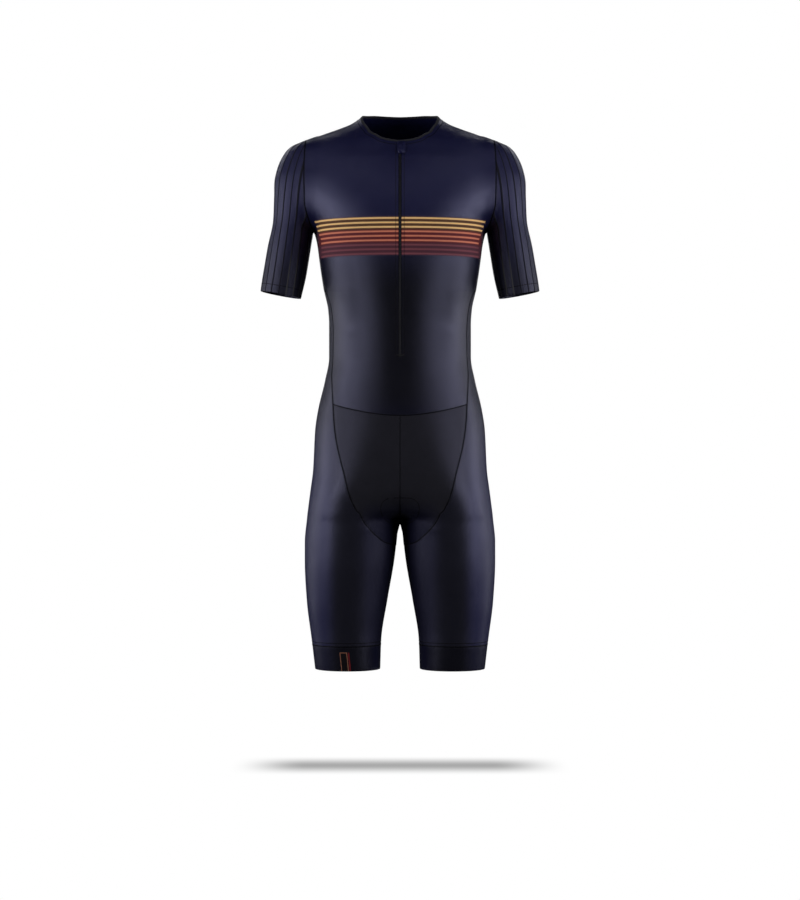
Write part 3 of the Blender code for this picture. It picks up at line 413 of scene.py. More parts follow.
def settle(points, rounds=8):  # the shortest way onto the figure
    points = np.array(points, dtype=float)
    for _ in range(rounds):
        rise = slope(points)
        points -= rise * (figureForm(points) / (rise ** 2).sum(axis=1))[:, None]
    return points


def boundary(path, far, form=figureForm):  # where paths from inside leave a form
    near = np.zeros_like(far)
    for _ in range(figureSizes["halvings"]):
        middle = (near + far) / 2
        inside = form(path(middle)) < 0
        near, far = np.where(inside, middle, near), np.where(inside, far, middle)
    return path(near)


def cast(starts, rays, reach, form=figureForm):
    return boundary(lambda far: starts + rays * far[:, None], np.zeros(len(rays)) + reach, form)


def stack(x, y, z):
    return np.stack(np.broadcast_arrays(*(np.asarray(v, dtype=float) for v in (x, y, z))), axis=-1)


def onSkin(across, height, side):
    starts = np.atleast_2d(stack(across, 0.0, height))
    return cast(starts, np.broadcast_to((0.0, side, 0.0), starts.shape), reaches["skin"], trunkForm)


def lengths(line):  # of the way to each of its points
    return np.r_[0, np.cumsum(np.linalg.norm(np.diff(line, axis=0), axis=1))]


def partway(line, wanted):
    passed = lengths(line)
    return np.stack([np.interp(wanted, passed, line[:, n]) for n in range(3)], axis=-1)


def spread(curve, shares):  # points at shares of a curve's length
    return partway(curve, np.asarray(shares, dtype=float) * lengths(curve)[-1])


def mirror(points):
    return np.asarray(points) * (-1.0, 1.0, 1.0)


# ---------- the cut: seams of the wearer's left, millimetres ----------

suitCut = {
    "wall": 1.5, "seamGap": 0.3, "edgeTuck": 0.25, "zipOpening": 5.2, "shoulderPivot": -100.0, "shoulderAngle": 94.0,
    "armhole": ((-20, 169.0), (-70, 171.0), (-135, 170.0), (-165, 163.0), (-186, 154.5)),
    "neck": ((0, -29.8), (12, -28.3), (21, -26.2), (31, -22.1), (38, -17.1), (43.5, -13.9), (49, -9.9), (53, -5.0),
             (58, 0.3), (64.5, 6.7), (74.5, 15.5), (90, 23.0), (110, 25.5), (135, 27.5), (160, 27.3), (180, 27.0)),
    "sideSeam": ((-288, 136.4), (-300, 129.3), (-327, 122.0), (-362, 119.0), (-407, 119.4), (-443, 121.6),
                 (-495, 119.0), (-531, 116.8), (-569, 111.0), (-616, 99.3), (-661, 87.4), (-684, 76.1)),
    "thighSeam": ((7.0, -684), (17.5, -709), (33.0, -729), (45.0, -739), (58.0, -743), (74.0, -745),
                  (90.0, -746)),
    "trunkRows": ((0, -185.5, -185.5), (1, -219, -222), (2, -253, -260), (3, -288, -298), (4, -329, -336),
                  (5, -371, -372), (6, -412, -412.5), (7, -453, -462), (8, -495, -515)),
    "briefRows": ((0, 0.00, 0.00, -495), (1, 0.12, 0.12, -528), (2, 0.24, 0.24, -561), (3, 0.36, 0.37, -594),
                  (4, 0.48, 0.50, -626), (5, 0.59, 0.62, -658), (6, 0.69, 0.73, -690), (7, 0.77, 0.82, -718),
                  (8, 0.84, 0.89, -742), (9, 0.91, 0.95, -764), (10, 1.00, 1.00, -786)),
    "tipRow": 3, "zipBottomRow": 6, "crotchPivot": -610.0, "hipPivot": (45.0, 0.0, -635.0), "hipReach": 230.0,
    "waist": -495.0, "middleWaist": -515.0, "bandSeam": -925.0, "legHem": -969.0,
}

detail = {  # how many points each line gets
    "armhole": 240, "cuff": 200, "panel": 60, "middle": 30, "crotch": 70, "side": 60, "inseam": 30, "band": 120,
    "bandFold": 140, "zipSide": 150, "pad": 60, "tack": 30, "cord": 9,
}
reaches = {  # how far rays look for the skin
    "skin": 160.0, "armhole": 150.0, "cuff": 90.0, "neck": 200.0, "shoulder": 170.0, "thigh": 120.0,
    "trunk": 260.0, "sleeve": 140.0,
}

holeTable, neckTable = Table(suitCut["armhole"]), Table(suitCut["neck"])
sideTable, thighTable = Table(suitCut["sideSeam"]), Table(suitCut["thighSeam"])
trunkRowTable = Table(suitCut["trunkRows"], "side", "middle")
briefRowTable = Table(suitCut["briefRows"], "seam", "middle", "outside")

sleeveCut = {
    "ribs": 18, "ribRise": 0.55, "ribFade": 6, "rowEase": 1.25, "capBlend": (0.6, 0.3),
    "crestWidth": (0.385, 0.430), "crestMatt": 0.45, "matt": 0.09,
    "ribStops": (-0.5, -0.30, -0.135, -0.11, -0.075, -0.04, 0.0, 0.04, 0.075, 0.11, 0.135, 0.30),
    "ribLifts": (0.0, 0.0, 0.0, 0.0, 0.45, 0.90, 1.0, 0.90, 0.45, 0.0, 0.0, 0.0),
    # painted highlight: where the inner rib crests low on the sleeve are paler, and their colour
    "ribHighlightAcross": (0.27, 0.31, 0.44, 0.50), "ribHighlightHeight": (-0.270, -0.205), "ribHighlightColour": (0.050, 0.050, 0.050),
    "cuffOuter": (251.5, -290.0), "cuffInner": (179.5, -303.4), "pivot": (150.0, 4.0, -100.0),
    "cuffFront": (98.0, -90.0), "cuffBack": (-90.0, -262.0),
    "rows": 74, "flatWidth": 0.250, "flatLength": 0.255,
    "gather": ((0, 0), (0.11, 0.02), (0.17, 0.04), (0.228, 0.07), (0.286, 0.115), (0.33, 0.27), (0.36, 0.37),
               (0.42, 0.45), (0.50, 0.50)),  # share round the cuff, share round the armhole
}


def armholeArc(first, last):
    angle = np.radians(np.linspace(first, last, detail["armhole"]))

    def path(radius):
        z = suitCut["shoulderPivot"] + radius * np.sin(angle)
        return stack(holeTable.at(z), -radius * np.cos(angle), z)

    return settle(boundary(path, np.full_like(angle, reaches["armhole"])), 3)


def cuffArc(first, last, above=0.0):
    outer, inner = (np.array((x, figureSizes["armBack"], z)) for x, z in (sleeveCut["cuffOuter"],
                                                                          sleeveCut["cuffInner"]))
    out = unit(outer - inner)
    middle = (outer + inner) / 2 + above * np.cross(out, (0, 1, 0))
    angle = np.radians(np.linspace(first, last, detail["cuff"]))[:, None]
    rays = np.cos(angle) * (0.0, -1.0, 0.0) + np.sin(angle) * out
    return cast(np.broadcast_to(middle, rays.shape), rays, reaches["cuff"], armForm)


def neckEdge(bearings):
    angle = np.radians(bearings)
    rays = stack(np.sin(angle), -np.cos(angle), 0.0 * angle)
    return cast(stack(0.0, 0.0, neckTable.at(bearings)), rays, reaches["neck"])


def shoulderEdge(start, end, shares):
    x = start[0] + (end[0] - start[0]) * shares
    angle = math.radians(suitCut["shoulderAngle"])
    rays = np.broadcast_to((0.0, -math.cos(angle), math.sin(angle)), (len(x), 3))
    row = cast(stack(x, 0.0, suitCut["shoulderPivot"]), rays, reaches["shoulder"])
    row += (start - row[0]) * (1 - shares)[:, None] ** 2 + (end - row[-1]) * shares[:, None] ** 2
    return row


def sidePoint(index, side):  # where a row of the trunk meets the side seam or the side panel
    height = float(trunkRowTable.at(index)["side"])
    if index <= suitCut["tipRow"]:
        edge = settle([(float(trunkTable.at(height)["halfWidth"]), 0.0, height)], 6)[0]
        share = max(0.0, 1.0 - index) ** 2
        return edge * (1 - share) + armpit * share if share else edge
    return onSkin(sideTable.at(height), height, side)[0]


def panelEdge(side):  # the side panel's seam from the waist down and round the thigh
    waist, end = suitCut["waist"], suitCut["sideSeam"][-1][0]
    line = [onSkin(sideTable.at(height), height, side)[0] for height in np.linspace(waist, end, detail["panel"])]
    for inward in np.linspace(suitCut["thighSeam"][0][0], 90.0, detail["panel"])[1:]:
        height, angle = float(thighTable.at(inward)), math.radians(inward)
        start = np.array([(float(trunkTable.at(height)["lobe"]), 0.0, height)])
        ray = np.array([(-math.sin(angle), side * math.cos(angle), 0.0)])
        line.append(cast(start, ray, reaches["thigh"], trunkForm)[0])
    return np.array(line)


def middleEdge(side):  # the middle line from the waist to the crotch
    heights = np.linspace(suitCut["middleWaist"], suitCut["crotchPivot"], detail["middle"])
    line = [onSkin(0.0, height, side)[0] for height in heights]
    angle = np.radians(np.linspace(3, 90, detail["crotch"]))
    starts = np.broadcast_to((0.0, 0.0, suitCut["crotchPivot"]), (len(angle), 3))
    rays = stack(0.0, side * np.cos(angle), -np.sin(angle))
    return np.vstack([line, cast(starts, rays, reaches["skin"], trunkForm)])


frontArc = armholeArc(suitCut["shoulderAngle"], -90.0)
backArc = armholeArc(-90.0, suitCut["shoulderAngle"] - 360.0)
armpit = frontArc[-1]
panels = {"front": panelEdge(-1), "back": panelEdge(1)}
middles = {"front": middleEdge(-1), "back": middleEdge(1)}
panels["back"][-1] = thighPoint = panels["front"][-1]
middles["back"][-1] = crotch = middles["front"][-1]


def inseamEdge(shares):
    height = crotch[2] + (thighPoint[2] - crotch[2]) * shares
    row = settle(stack(trunkTable.at(height)["gap"], 0.0, height), 6)
    row[shares <= 0], row[shares >= 1] = crotch, thighPoint
    return row


print("seams laid out")

# ---------- grids of each cut piece ----------

trunkGrid = {
    "stops": (0, 0.045, 0.12, 0.21, 0.30, 0.39, 0.48, 0.57, 0.66, 0.75, 0.83, 0.92, 1.0),
    "shoulderStops": (0, 0.14, 0.36, 0.58, 0.80, 1.0), "shoulderAt": 5, "perStop": 4,
    "lowerSteps": 8, "rowsPerStep": 8, "upperRows": 44, "corner": 95,
    "frontBearings": (95, 76, 63, 51, 39, 26, 13, 2.6), "backBearings": (95, 112, 126, 138, 150, 161, 171, 180),
}
briefGrid = {"stops": (0, 0.2, 0.4, 0.58, 0.74, 0.88, 1.0), "perStop": 5, "steps": 10, "rows": 44, "ease": 2.5,
             "reach": (1.3, 12)}
legRows = {"columns": 84, "panelPerStep": 7, "hipPerStep": 5, "hipSteps": 10, "lower": 24, "band": 14, "round": 0.6}


def stopsAt(stops, places):
    return Table(list(enumerate(stops))).at(places)


def trunkRow(index, side, middleX, shares):
    heights = trunkRowTable.at(index)
    first, second = float(heights["side"]), float(heights["middle"])
    edge, middle = sidePoint(index, side), onSkin(middleX, second, side)[0]
    start, end = (math.atan2(point[0], side * point[1]) for point in (edge, middle))
    bearing = start + (end - start) * shares
    height = first + (second - first) * (1 - (1 - shares) ** 2)
    rays = stack(np.sin(bearing), side * np.cos(bearing), 0.0)
    row = settle(cast(stack(0.0, 0.0, height), rays, reaches["trunk"], trunkForm), 4)
    row[0], row[-1] = edge, middle
    return row


def angleAbout(points):
    return np.arctan2(points[:, 2] - suitCut["shoulderPivot"], -points[:, 1])


def overShoulder(start, end, hole, near):  # a column from the armpit's height over to the shoulder or neck
    angle = np.unwrap(angleAbout(hole))
    shares = (angle - angle[0]) / (angle[-1] - angle[0])
    first, last = angleAbout(np.array([start, end]))
    first += 2 * math.pi * round((angle[0] - first) / (2 * math.pi))
    last += 2 * math.pi * round((angle[-1] - last) / (2 * math.pi))
    turn = first + (last - first) * shares
    straight = hole[0][0] + (hole[-1][0] - hole[0][0]) * shares
    x = start[0] + (end[0] - start[0]) * shares + (hole[:, 0] - straight) * near
    rays = stack(0.0 * x, -np.cos(turn), np.sin(turn))
    row = cast(stack(x, 0.0, suitCut["shoulderPivot"]), rays, reaches["shoulder"])
    row[0], row[-1] = start, end
    return row


def trunkHalf(name, side, middleX):  # rows from the waist up, columns from the side to the middle
    last = len(trunkGrid["stops"]) - 1
    places = np.linspace(0, last, last * trunkGrid["perStop"] + 1)
    shares = stopsAt(trunkGrid["stops"], places)
    steps = trunkGrid["lowerSteps"]
    lower = [trunkRow(index, side, middleX, shares)
             for index in np.linspace(steps, 0, steps * trunkGrid["rowsPerStep"] + 1)]
    arc = frontArc[::-1] if side < 0 else backArc
    hole = spread(arc, np.linspace(0, 1, trunkGrid["upperRows"] + 1))
    onSeam = places <= trunkGrid["shoulderAt"]
    bearings = stopsAt(trunkGrid[name + "Bearings"], places[~onSeam] - trunkGrid["shoulderAt"])
    corner = neckEdge(np.array([trunkGrid["corner"]]))[0]
    seam = shoulderEdge(hole[-1], corner, stopsAt(trunkGrid["shoulderStops"], places[onSeam]))
    top = np.vstack([seam, neckEdge(bearings)])
    if middleX:
        top[-1] = onSkin(middleX, top[-1][2], side)[0]
    columns = [hole] + [overShoulder(lower[-1][n], top[n], hole, (1 - shares[n]) ** 2)
                        for n in range(1, len(places))]
    return np.array(lower + [np.array([column[row] for column in columns]) for row in range(1, len(hole))])


def briefHalf(name, waist):
    last = len(briefGrid["stops"]) - 1
    shares = stopsAt(briefGrid["stops"], np.linspace(0, last, last * briefGrid["perStop"] + 1))[:, None]
    steps = np.linspace(0, briefGrid["steps"], briefGrid["rows"] + 1)
    table = briefRowTable.at(steps)
    edges, centres = spread(panels[name], table["seam"]), spread(middles[name], table["middle"])
    pivot, made, (times, plus) = np.array(suitCut["hipPivot"]), [], briefGrid["reach"]
    for edge, middle in zip(edges, centres):
        rays = edge * (1 - shares) + middle * shares - pivot
        size = np.linalg.norm(rays, axis=1)
        made.append(cast(pivot + 0 * rays, rays / size[:, None], size * times + plus, trunkForm))
    top = spread(waist, shares[:, 0])
    drop = top - made[0]
    for n, share in enumerate(steps / briefGrid["steps"]):
        if n:
            made[n] = settle(made[n] + drop * max(0.0, 1 - share * briefGrid["ease"]) ** 2, 3)
        made[n][0], made[n][-1] = edges[n], centres[n]
    made[0] = top
    made[-1] = inseamEdge(1 - shares[:, 0])
    return np.array(made)


def ownSide(middleX, rays):  # how far a ray may go without meeting the other leg
    toMiddle = middleX / np.maximum(-rays[:, 0], 1e-6) + 1000 * (rays[:, 0] >= 0)
    return np.minimum(suitCut["hipReach"] - middleX, toMiddle)


def roundRow(middleX, height, bearing):
    rays = stack(np.sin(bearing), -np.cos(bearing), 0.0)
    return cast(stack(middleX, 0.0, height), rays, ownSide(middleX, rays), trunkForm)


def outerRow(start, end, middleX, outside, closed=False):
    shares = np.linspace(0, 1, legRows["columns"] + 1)
    first, last = (math.atan2(point[0] - middleX, -point[1]) for point in (start, end))
    last += 2 * math.pi * (last < first)
    if closed:
        first, last = -math.pi / 2, 1.5 * math.pi
    ends = start[2] + (end[2] - start[2]) * shares
    height = ends + (outside - ends) * np.clip(np.sin(math.pi * shares), 0, 1) ** legRows["round"]
    row = roundRow(middleX, height, first + (last - first) * shares)
    row[0], row[-1] = start, end
    return row


def legRing(heights, columns=legRows["columns"]):
    shares = np.linspace(0, 1, columns + 1)
    heights = heights + 0 * shares
    row = roundRow(trunkTable.at(heights)["lobe"], heights, 2 * math.pi * shares - math.pi / 2)
    row[-1] = row[0]
    return row


def legGrid():
    first, last = suitCut["tipRow"], trunkGrid["lowerSteps"]
    rows = [np.broadcast_to(sidePoint(first, -1), (legRows["columns"] + 1, 3))]
    for index in np.linspace(first, last, (last - first) * legRows["panelPerStep"] + 1)[1:-1]:
        outside = float(trunkRowTable.at(index)["side"])
        rows.append(outerRow(sidePoint(index, -1), sidePoint(index, 1), 0.0, outside))
    steps = legRows["hipSteps"]
    table = briefRowTable.at(np.linspace(0, steps, steps * legRows["hipPerStep"] + 1))
    fronts, backs = (spread(panels[name], table["seam"]) for name in ("front", "back"))
    for n, outside in enumerate(table["outside"]):
        lobe = float(trunkTable.at(outside)["lobe"])
        rows.append(outerRow(fronts[n], backs[n], lobe, outside, closed=n == len(fronts) - 1))
    closing = rows[-1][:, 2]
    for share in np.linspace(0, 1, legRows["lower"] + 1)[1:]:
        rows.append(legRing(closing * (1 - share) + suitCut["bandSeam"] * share))
    return np.array(rows)


def bandGrid():
    heights = np.linspace(suitCut["bandSeam"], suitCut["legHem"], legRows["band"] + 1)
    return np.array([legRing(height) for height in heights])


def ringFromHalves(frontHalf, backHalf, shares):
    return np.vstack([spread(frontHalf, shares[shares < 0.5] * 2), spread(backHalf, shares[shares >= 0.5] * 2 - 1)])


def sleeveGrid():
    ribs = sleeveCut["ribs"]
    shares = np.array([(rib + 0.5 + stop) / ribs for rib in range(ribs) for stop in sleeveCut["ribStops"]])
    gather = Table(sleeveCut["gather"])
    gathered = np.where(shares < 0.5, gather.at(shares), 1 - gather.at(1 - shares))
    start = ringFromHalves(frontArc, backArc, gathered)
    end = ringFromHalves(cuffArc(*sleeveCut["cuffFront"]), cuffArc(*sleeveCut["cuffBack"]), shares)
    pivot, middle = np.array(sleeveCut["pivot"]), end.mean(axis=0)
    rows, (soft, shift) = [start], sleeveCut["capBlend"]
    for share in np.linspace(0, 1, sleeveCut["rows"] + 1)[1:-1] ** sleeveCut["rowEase"]:
        near = start * (1 - share) + end * share
        centre = pivot * (1 - share) + middle * share
        rays = unit(near - centre)
        over = np.clip(rays[:, 2:] / soft + shift, 0, 1)
        cap = cast(centre + 0 * rays, rays, reaches["sleeve"])
        rows.append(settle(cap * over + settle(near) * (1 - over), 5))
    rows = np.array(rows + [end])
    return np.concatenate([rows, rows[:, :1]], axis=1), shares


# ---------- creases, millimetres: place, direction, half length, half width, height ----------

creaseList = (
    ((128, -88, -172), (-0.55, -0.2, 0.80), 34, 6.5, -0.9), ((118, -92, -190), (-0.85, -0.2, 0.50), 36, 6.0, 0.8),
    ((132, -72, -212), (-0.90, -0.3, 0.15), 30, 6.0, -0.7), ((140, -60, -236), (-0.7, -0.5, -0.3), 28, 6.5, 0.5),
    ((112, -60, -352), (-0.8, -0.6, -0.10), 34, 7.0, -0.8), ((114, -58, -372), (-0.8, -0.6, 0.08), 38, 7.5, 0.8),
    ((113, -60, -394), (-0.8, -0.6, 0.14), 34, 7.0, -0.7), ((118, -60, -418), (-0.8, -0.6, 0.22), 28, 8.0, 0.5),
    ((40, -86, -648), (0.75, 0.1, 0.65), 34, 6.0, -0.9), ((30, -78, -668), (0.88, 0.1, 0.42), 30, 5.0, 0.8),
    ((34, -70, -690), (0.92, 0.1, 0.15), 26, 5.5, -0.8), ((52, -84, -716), (0.9, 0.15, -0.2), 34, 7.0, 0.6),
    ((120, -55, -560), (0.3, 0.25, -0.9), 60, 9.0, -0.5),
    ((120, 70, -180), (-0.7, 0.3, 0.65), 40, 7.0, -0.9), ((116, 74, -206), (-0.9, 0.3, 0.3), 38, 6.5, 0.8),
    ((70, 88, -340), (-0.98, 0.2, -0.05), 52, 8.0, -0.9), ((62, 88, -364), (-0.98, 0.2, 0.06), 56, 8.0, 0.9),
    ((74, 86, -388), (-0.98, 0.2, 0.12), 48, 8.0, -0.8), ((80, 84, -414), (-0.95, 0.3, 0.2), 40, 8.5, 0.6),
    ((70, 104, -676), (0.95, 0.0, 0.3), 44, 7.0, -1.0), ((66, 98, -698), (0.97, 0.0, 0.12), 40, 6.5, 0.9),
    ((86, 88, -742), (0.95, 0.1, -0.2), 40, 8.0, -0.6), ((184, -34, -180), (0.5, 0.3, -0.8), 26, 5.0, -0.5),
    ((196, 44, -190), (0.5, 0.2, -0.85), 30, 6.0, 0.6), ((176, -20, -214), (0.2, 0.8, -0.5), 22, 5.0, -0.5),
)

uneven = {"least": 0.72, "more": 0.5, "shift": 0.9}  # of the same crease on the other side


def creaseLift(points):
    total = np.zeros(len(points))
    for number, (place, way, reach, width, rise) in enumerate(creaseList):
        way = unit(np.array(way))
        strength = uneven["least"] + uneven["more"] * ((number * 37) % 11) / 11
        shift = ((number * 53) % 17 - 8) * uneven["shift"]
        for hand, share, up in ((1.0, 1.0, 0.0), (-1.0, strength, shift)):
            offset = points * (hand, 1.0, 1.0) - np.array(place) - (0.0, 0.0, up)
            far = offset @ way
            aside = np.linalg.norm(offset - far[:, None] * way, axis=1) / width
            total += rise * share * (1 - aside ** 2) * np.exp(-aside ** 2 - (far / (reach * share)) ** 2)
    return total


def dressed(points, lift=0.0):  # on the cloth's outer side, lifted off it
    normals = outward(points)
    return points + normals * (creaseLift(points) + lift)[:, None], normals


# ---------- meshes ----------

sharpFrom = 55  # degrees


def newObject(name, data):
    made = bpy.data.objects.new(name, data)
    bpy.context.scene.collection.objects.link(made)
    return made


def newPiece(name, points, faces, material, uvs=None):  # points in millimetres
    mesh = bpy.data.meshes.new(name)
    mesh.from_pydata((np.asarray(points) * 0.001).tolist(), [], faces)
    if uvs is not None:
        mesh.uv_layers.new(name="cut").data.foreach_set("uv", np.asarray(uvs, dtype=np.float32).ravel())
    mesh.shade_smooth()
    mesh.set_sharp_from_angle(angle=math.radians(sharpFrom))
    mesh.materials.append(material)
    return newObject(name, mesh)


def gridPart(grid, uvs, lifts=0.0, skip=None):
    rows, columns = grid.shape[:2]
    number = np.arange(rows * columns).reshape(rows, columns)
    cells = np.stack([number[:-1, :-1], number[:-1, 1:], number[1:, 1:], number[1:, :-1]], axis=-1)
    cells = (cells if skip is None else cells[~skip]).reshape(-1, 4)
    flat = grid.reshape(-1, 3)
    corners = flat[cells]
    facing = np.cross(corners[:, 2] - corners[:, 0], corners[:, 3] - corners[:, 1])
    if (facing * outward(corners.mean(axis=1))).sum() < 0:
        cells = cells[:, ::-1]
    return flat, uvs.reshape(-1, 2), np.broadcast_to(lifts, (rows, columns)).ravel(), cells


usual = {"wall": suitCut["wall"], "drop": 0.0, "gap": suitCut["seamGap"], "tuck": suitCut["edgeTuck"], "follow": 0.0}


def makeCloth(name, parts, material, flip=False, **special):
    # parts joined at their shared points, tucked at the seams and given a wall that may follow the outside
    sizes = usual | special
    raw, uvs, lifts = (np.concatenate([part[n] for part in parts]) for n in range(3))
    starts = np.cumsum([0] + [len(part[0]) for part in parts])
    cells = np.concatenate([part[3] + start for part, start in zip(parts, starts)])
    _, first, same = np.unique(np.round(raw, 3), axis=0, return_index=True, return_inverse=True)
    same = same.ravel()
    points, lifts = raw[first], lifts[first]
    faces, corners, seen = [], [], {}
    for cell in cells.tolist():
        loop = [(int(same[v]), v) for v in cell]
        loop = [pair for n, pair in enumerate(loop) if pair[0] != loop[n - 1][0]]
        if len(loop) > 2:
            faces.append([pair[0] for pair in loop])
            corners.append([pair[1] for pair in loop])
            for before, after in zip([loop[-1]] + loop, loop):
                seen[before[0], after[0]] = before[1], after[1]
    border = [(edge, pair) for edge, pair in seen.items() if edge[::-1] not in seen]
    normals, pulls = outward(points), np.zeros_like(points)
    for (a, b), _ in border:
        inward = unit(np.cross(normals[a] + normals[b], points[b] - points[a]))
        pulls[a] += inward
        pulls[b] += inward
    size = (pulls ** 2).sum(axis=1)
    onBorder = size > 0
    pulls[onBorder] *= (sizes["gap"] / np.maximum(size[onBorder], 0.5))[:, None]
    base = points + pulls + normals * (creaseLift(points) - sizes["drop"])[:, None]
    outer = base + normals * (lifts - sizes["tuck"] * onBorder)[:, None]
    inner = base + normals * (lifts * sizes["follow"] - sizes["wall"])[:, None]
    count = len(points)
    allFaces = faces + [[v + count for v in reversed(face)] for face in faces]
    allCorners = corners + [loop[::-1] for loop in corners]
    for (a, b), (uvA, uvB) in border:
        allFaces.append([b, a, a + count, b + count])
        allCorners.append([uvB, uvA, uvA, uvB])
    layers = np.vstack([outer, inner])
    if flip:
        layers = mirror(layers)
        allFaces, allCorners = ([loop[::-1] for loop in loops] for loops in (allFaces, allCorners))
    return newPiece(name, layers, allFaces, material, uvs[[v for loop in allCorners for v in loop]])


def lengthUvs(grid, fromEnd=False, column=None):  # metres along each row, and down each column or one of them
    across = np.cumsum(np.linalg.norm(np.diff(grid, axis=1, prepend=grid[:, :1]), axis=2), axis=1)
    if fromEnd:
        across = across[:, -1:] - across
    down = np.cumsum(np.linalg.norm(np.diff(grid, axis=0, prepend=grid[:1]), axis=2), axis=0)
    if column is not None:
        down = down[:, [column]] + 0 * down
    return np.stack([across, down], axis=-1) * 0.001


def wholeGrid(half, last=-2):  # points or uvs out to the middle line, then their mirror image
    return np.concatenate([half, half[:, last::-1] * (-1, 1, 1)[:half.shape[-1]]], axis=1)


def ringSweep(name, rings, material):
    rings = np.asarray(rings)
    count, size = rings.shape[:2]
    points = rings.reshape(-1, 3)
    faces = [[a + n, a + (n + 1) % size, a + size + (n + 1) % size, a + size + n]
             for a in range(0, (count - 1) * size, size) for n in range(size)]
    faces += [list(range(size))[::-1], [len(points) - size + n for n in range(size)]]
    volume = sum(points[face[0]] @ np.cross(points[face[n]], points[face[n + 1]])
                 for face in faces for n in range(1, len(face) - 1))
    if volume < 0:
        faces = [face[::-1] for face in faces]
    return newPiece(name, points, faces, material)


def joinPieces(name, pieces):
    bpy.ops.object.select_all(action="DESELECT")
    for piece in pieces:
        piece.select_set(True)
    bpy.context.view_layer.objects.active = pieces[0]
    bpy.ops.object.join()
    pieces[0].name = pieces[0].data.name = name
    return pieces[0]


def place(piece, slot, *nodes):
    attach(piece, "root")
    if nodes:
        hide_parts(*nodes)


def sameName(name):  # the node that a piece stands for has its name, written another way
    return "".join("_" + letter.lower() if letter.isupper() else letter for letter in name)


# ---------- the body, brief, legs and sleeves ----------

kinds = (("chest", "chestKnit"), ("plain", "bodyKnit"), ("brief", "briefKnit"), ("band", "bandKnit"),
         ("ribbed", "ribbedKnit"))
cloths = {kind: clothMaterial(name, kind) for kind, name in kinds}
finishes = {  # colour, roughness, grain, relief, and sheen and shine where they differ
    "binding": ("bindingKnit", (0.018, 0.018, 0.026), 0.80, 0.0008, 0.00006, 0.10, 0.12),
    "thread": ("sewingThread", (0.0085, 0.0085, 0.012), 0.50, 0.0003, 0.00002),
    "seam": ("seamEdge", (0.0015, 0.0015, 0.0040), 0.70, 0.0006, 0.00004, 0.0, 0.10),
    "coil": ("zipCoil", (0.014, 0.014, 0.022), 0.42, 0.0010, 0.00002),
    "zip": ("zipPlastic", (0.012, 0.012, 0.015), 0.32, 0.0010, 0.00002),
    "tape": ("zipTape", (0.006, 0.006, 0.008), 0.66, 0.0005, 0.00006),
    "pad": ("padFleece", (0.020, 0.020, 0.024), 0.85, 0.0012, 0.00012, 0.3),
}
trims = {key: plainMaterial(*finish) for key, finish in finishes.items()}

flatCuts = {  # width, length and area before it was sewn, metres
    "frontBody": ((0.44, 0.56), 0.160), "backBody": ((0.44, 0.56), 0.165), "frontBrief": ((0.145, 0.25), 0.0225),
    "seatBack": ((0.28, 0.30), 0.047), "sideLeg": ((0.40, 0.64), 0.155), "legBand": ((0.34, 0.045), 0.0148),
    "sleeve": ((0.28, 0.27), 0.052), "garage": ((0.016, 0.030), 0.00040),
}
padSizes = {"frontRow": 22, "backRow": 18, "columns": 17, "wall": 4.0, "drop": 2.4, "fill": 0.9}

slots = {"chest": "body_cloth", "plain": "body_cloth", "brief": "brief_cloth", "band": "band",
         "ribbed": "sleeve_cloth"}
hands = (("Left", False), ("Right", True))
frontRows = trunkHalf("front", -1, suitCut["zipOpening"] / 2)
backRows = trunkHalf("back", 1, 0.0)
openingRow = (trunkGrid["lowerSteps"] - suitCut["zipBottomRow"]) * trunkGrid["rowsPerStep"]


def laySheet(name, part, kind, hand="", flip=False):
    piece = makeCloth(name + hand, [part], cloths[kind], flip)
    place(piece, slots[kind], sameName(name + hand))
    flat, area = flatCuts[name]


def buildBody():
    uvs = lengthUvs(frontRows, fromEnd=True, column=-1) + (suitCut["zipOpening"] * 0.0005, 0)
    grid = wholeGrid(frontRows, -1)
    skip = np.zeros((grid.shape[0] - 1, grid.shape[1] - 1), dtype=bool)
    skip[openingRow:, frontRows.shape[1] - 1] = True
    laySheet("frontBody", gridPart(grid, wholeGrid(uvs, -1), skip=skip), "chest")
    uvs = lengthUvs(backRows, fromEnd=True, column=-1)
    laySheet("backBody", gridPart(wholeGrid(backRows), wholeGrid(uvs)), "plain")


def buildBrief():
    waist = np.vstack([frontRows[0], middles["front"][:1]])
    front, back = briefHalf("front", waist), briefHalf("back", backRows[0])
    for hand, flip in hands:
        laySheet("frontBrief", gridPart(front, lengthUvs(front, fromEnd=True)), "brief", hand, flip)
    laySheet("seatBack", gridPart(wholeGrid(back), wholeGrid(lengthUvs(back, fromEnd=True))), "brief")
    inner = [front[padSizes["frontRow"]:, -padSizes["columns"]:], back[padSizes["backRow"]:, -padSizes["columns"]:]]
    parts = [gridPart(wholeGrid(half), wholeGrid(lengthUvs(half))) for half in inner]
    piece = makeCloth("seatPad", parts, trims["pad"], wall=padSizes["wall"], drop=padSizes["drop"])
    place(piece, "pad", "seat_pad")


def buildLegs():
    leg, band, outside = legGrid(), bandGrid(), legRows["columns"] // 2
    for hand, flip in hands:
        for grid, name, kind in ((leg, "sideLeg", "plain"), (band, "legBand", "band")):
            uvs = lengthUvs(grid)
            uvs -= uvs[:, [outside]] * (1, 0)  # measured from the line down the outside
            laySheet(name, gridPart(grid, uvs), kind, hand, flip)


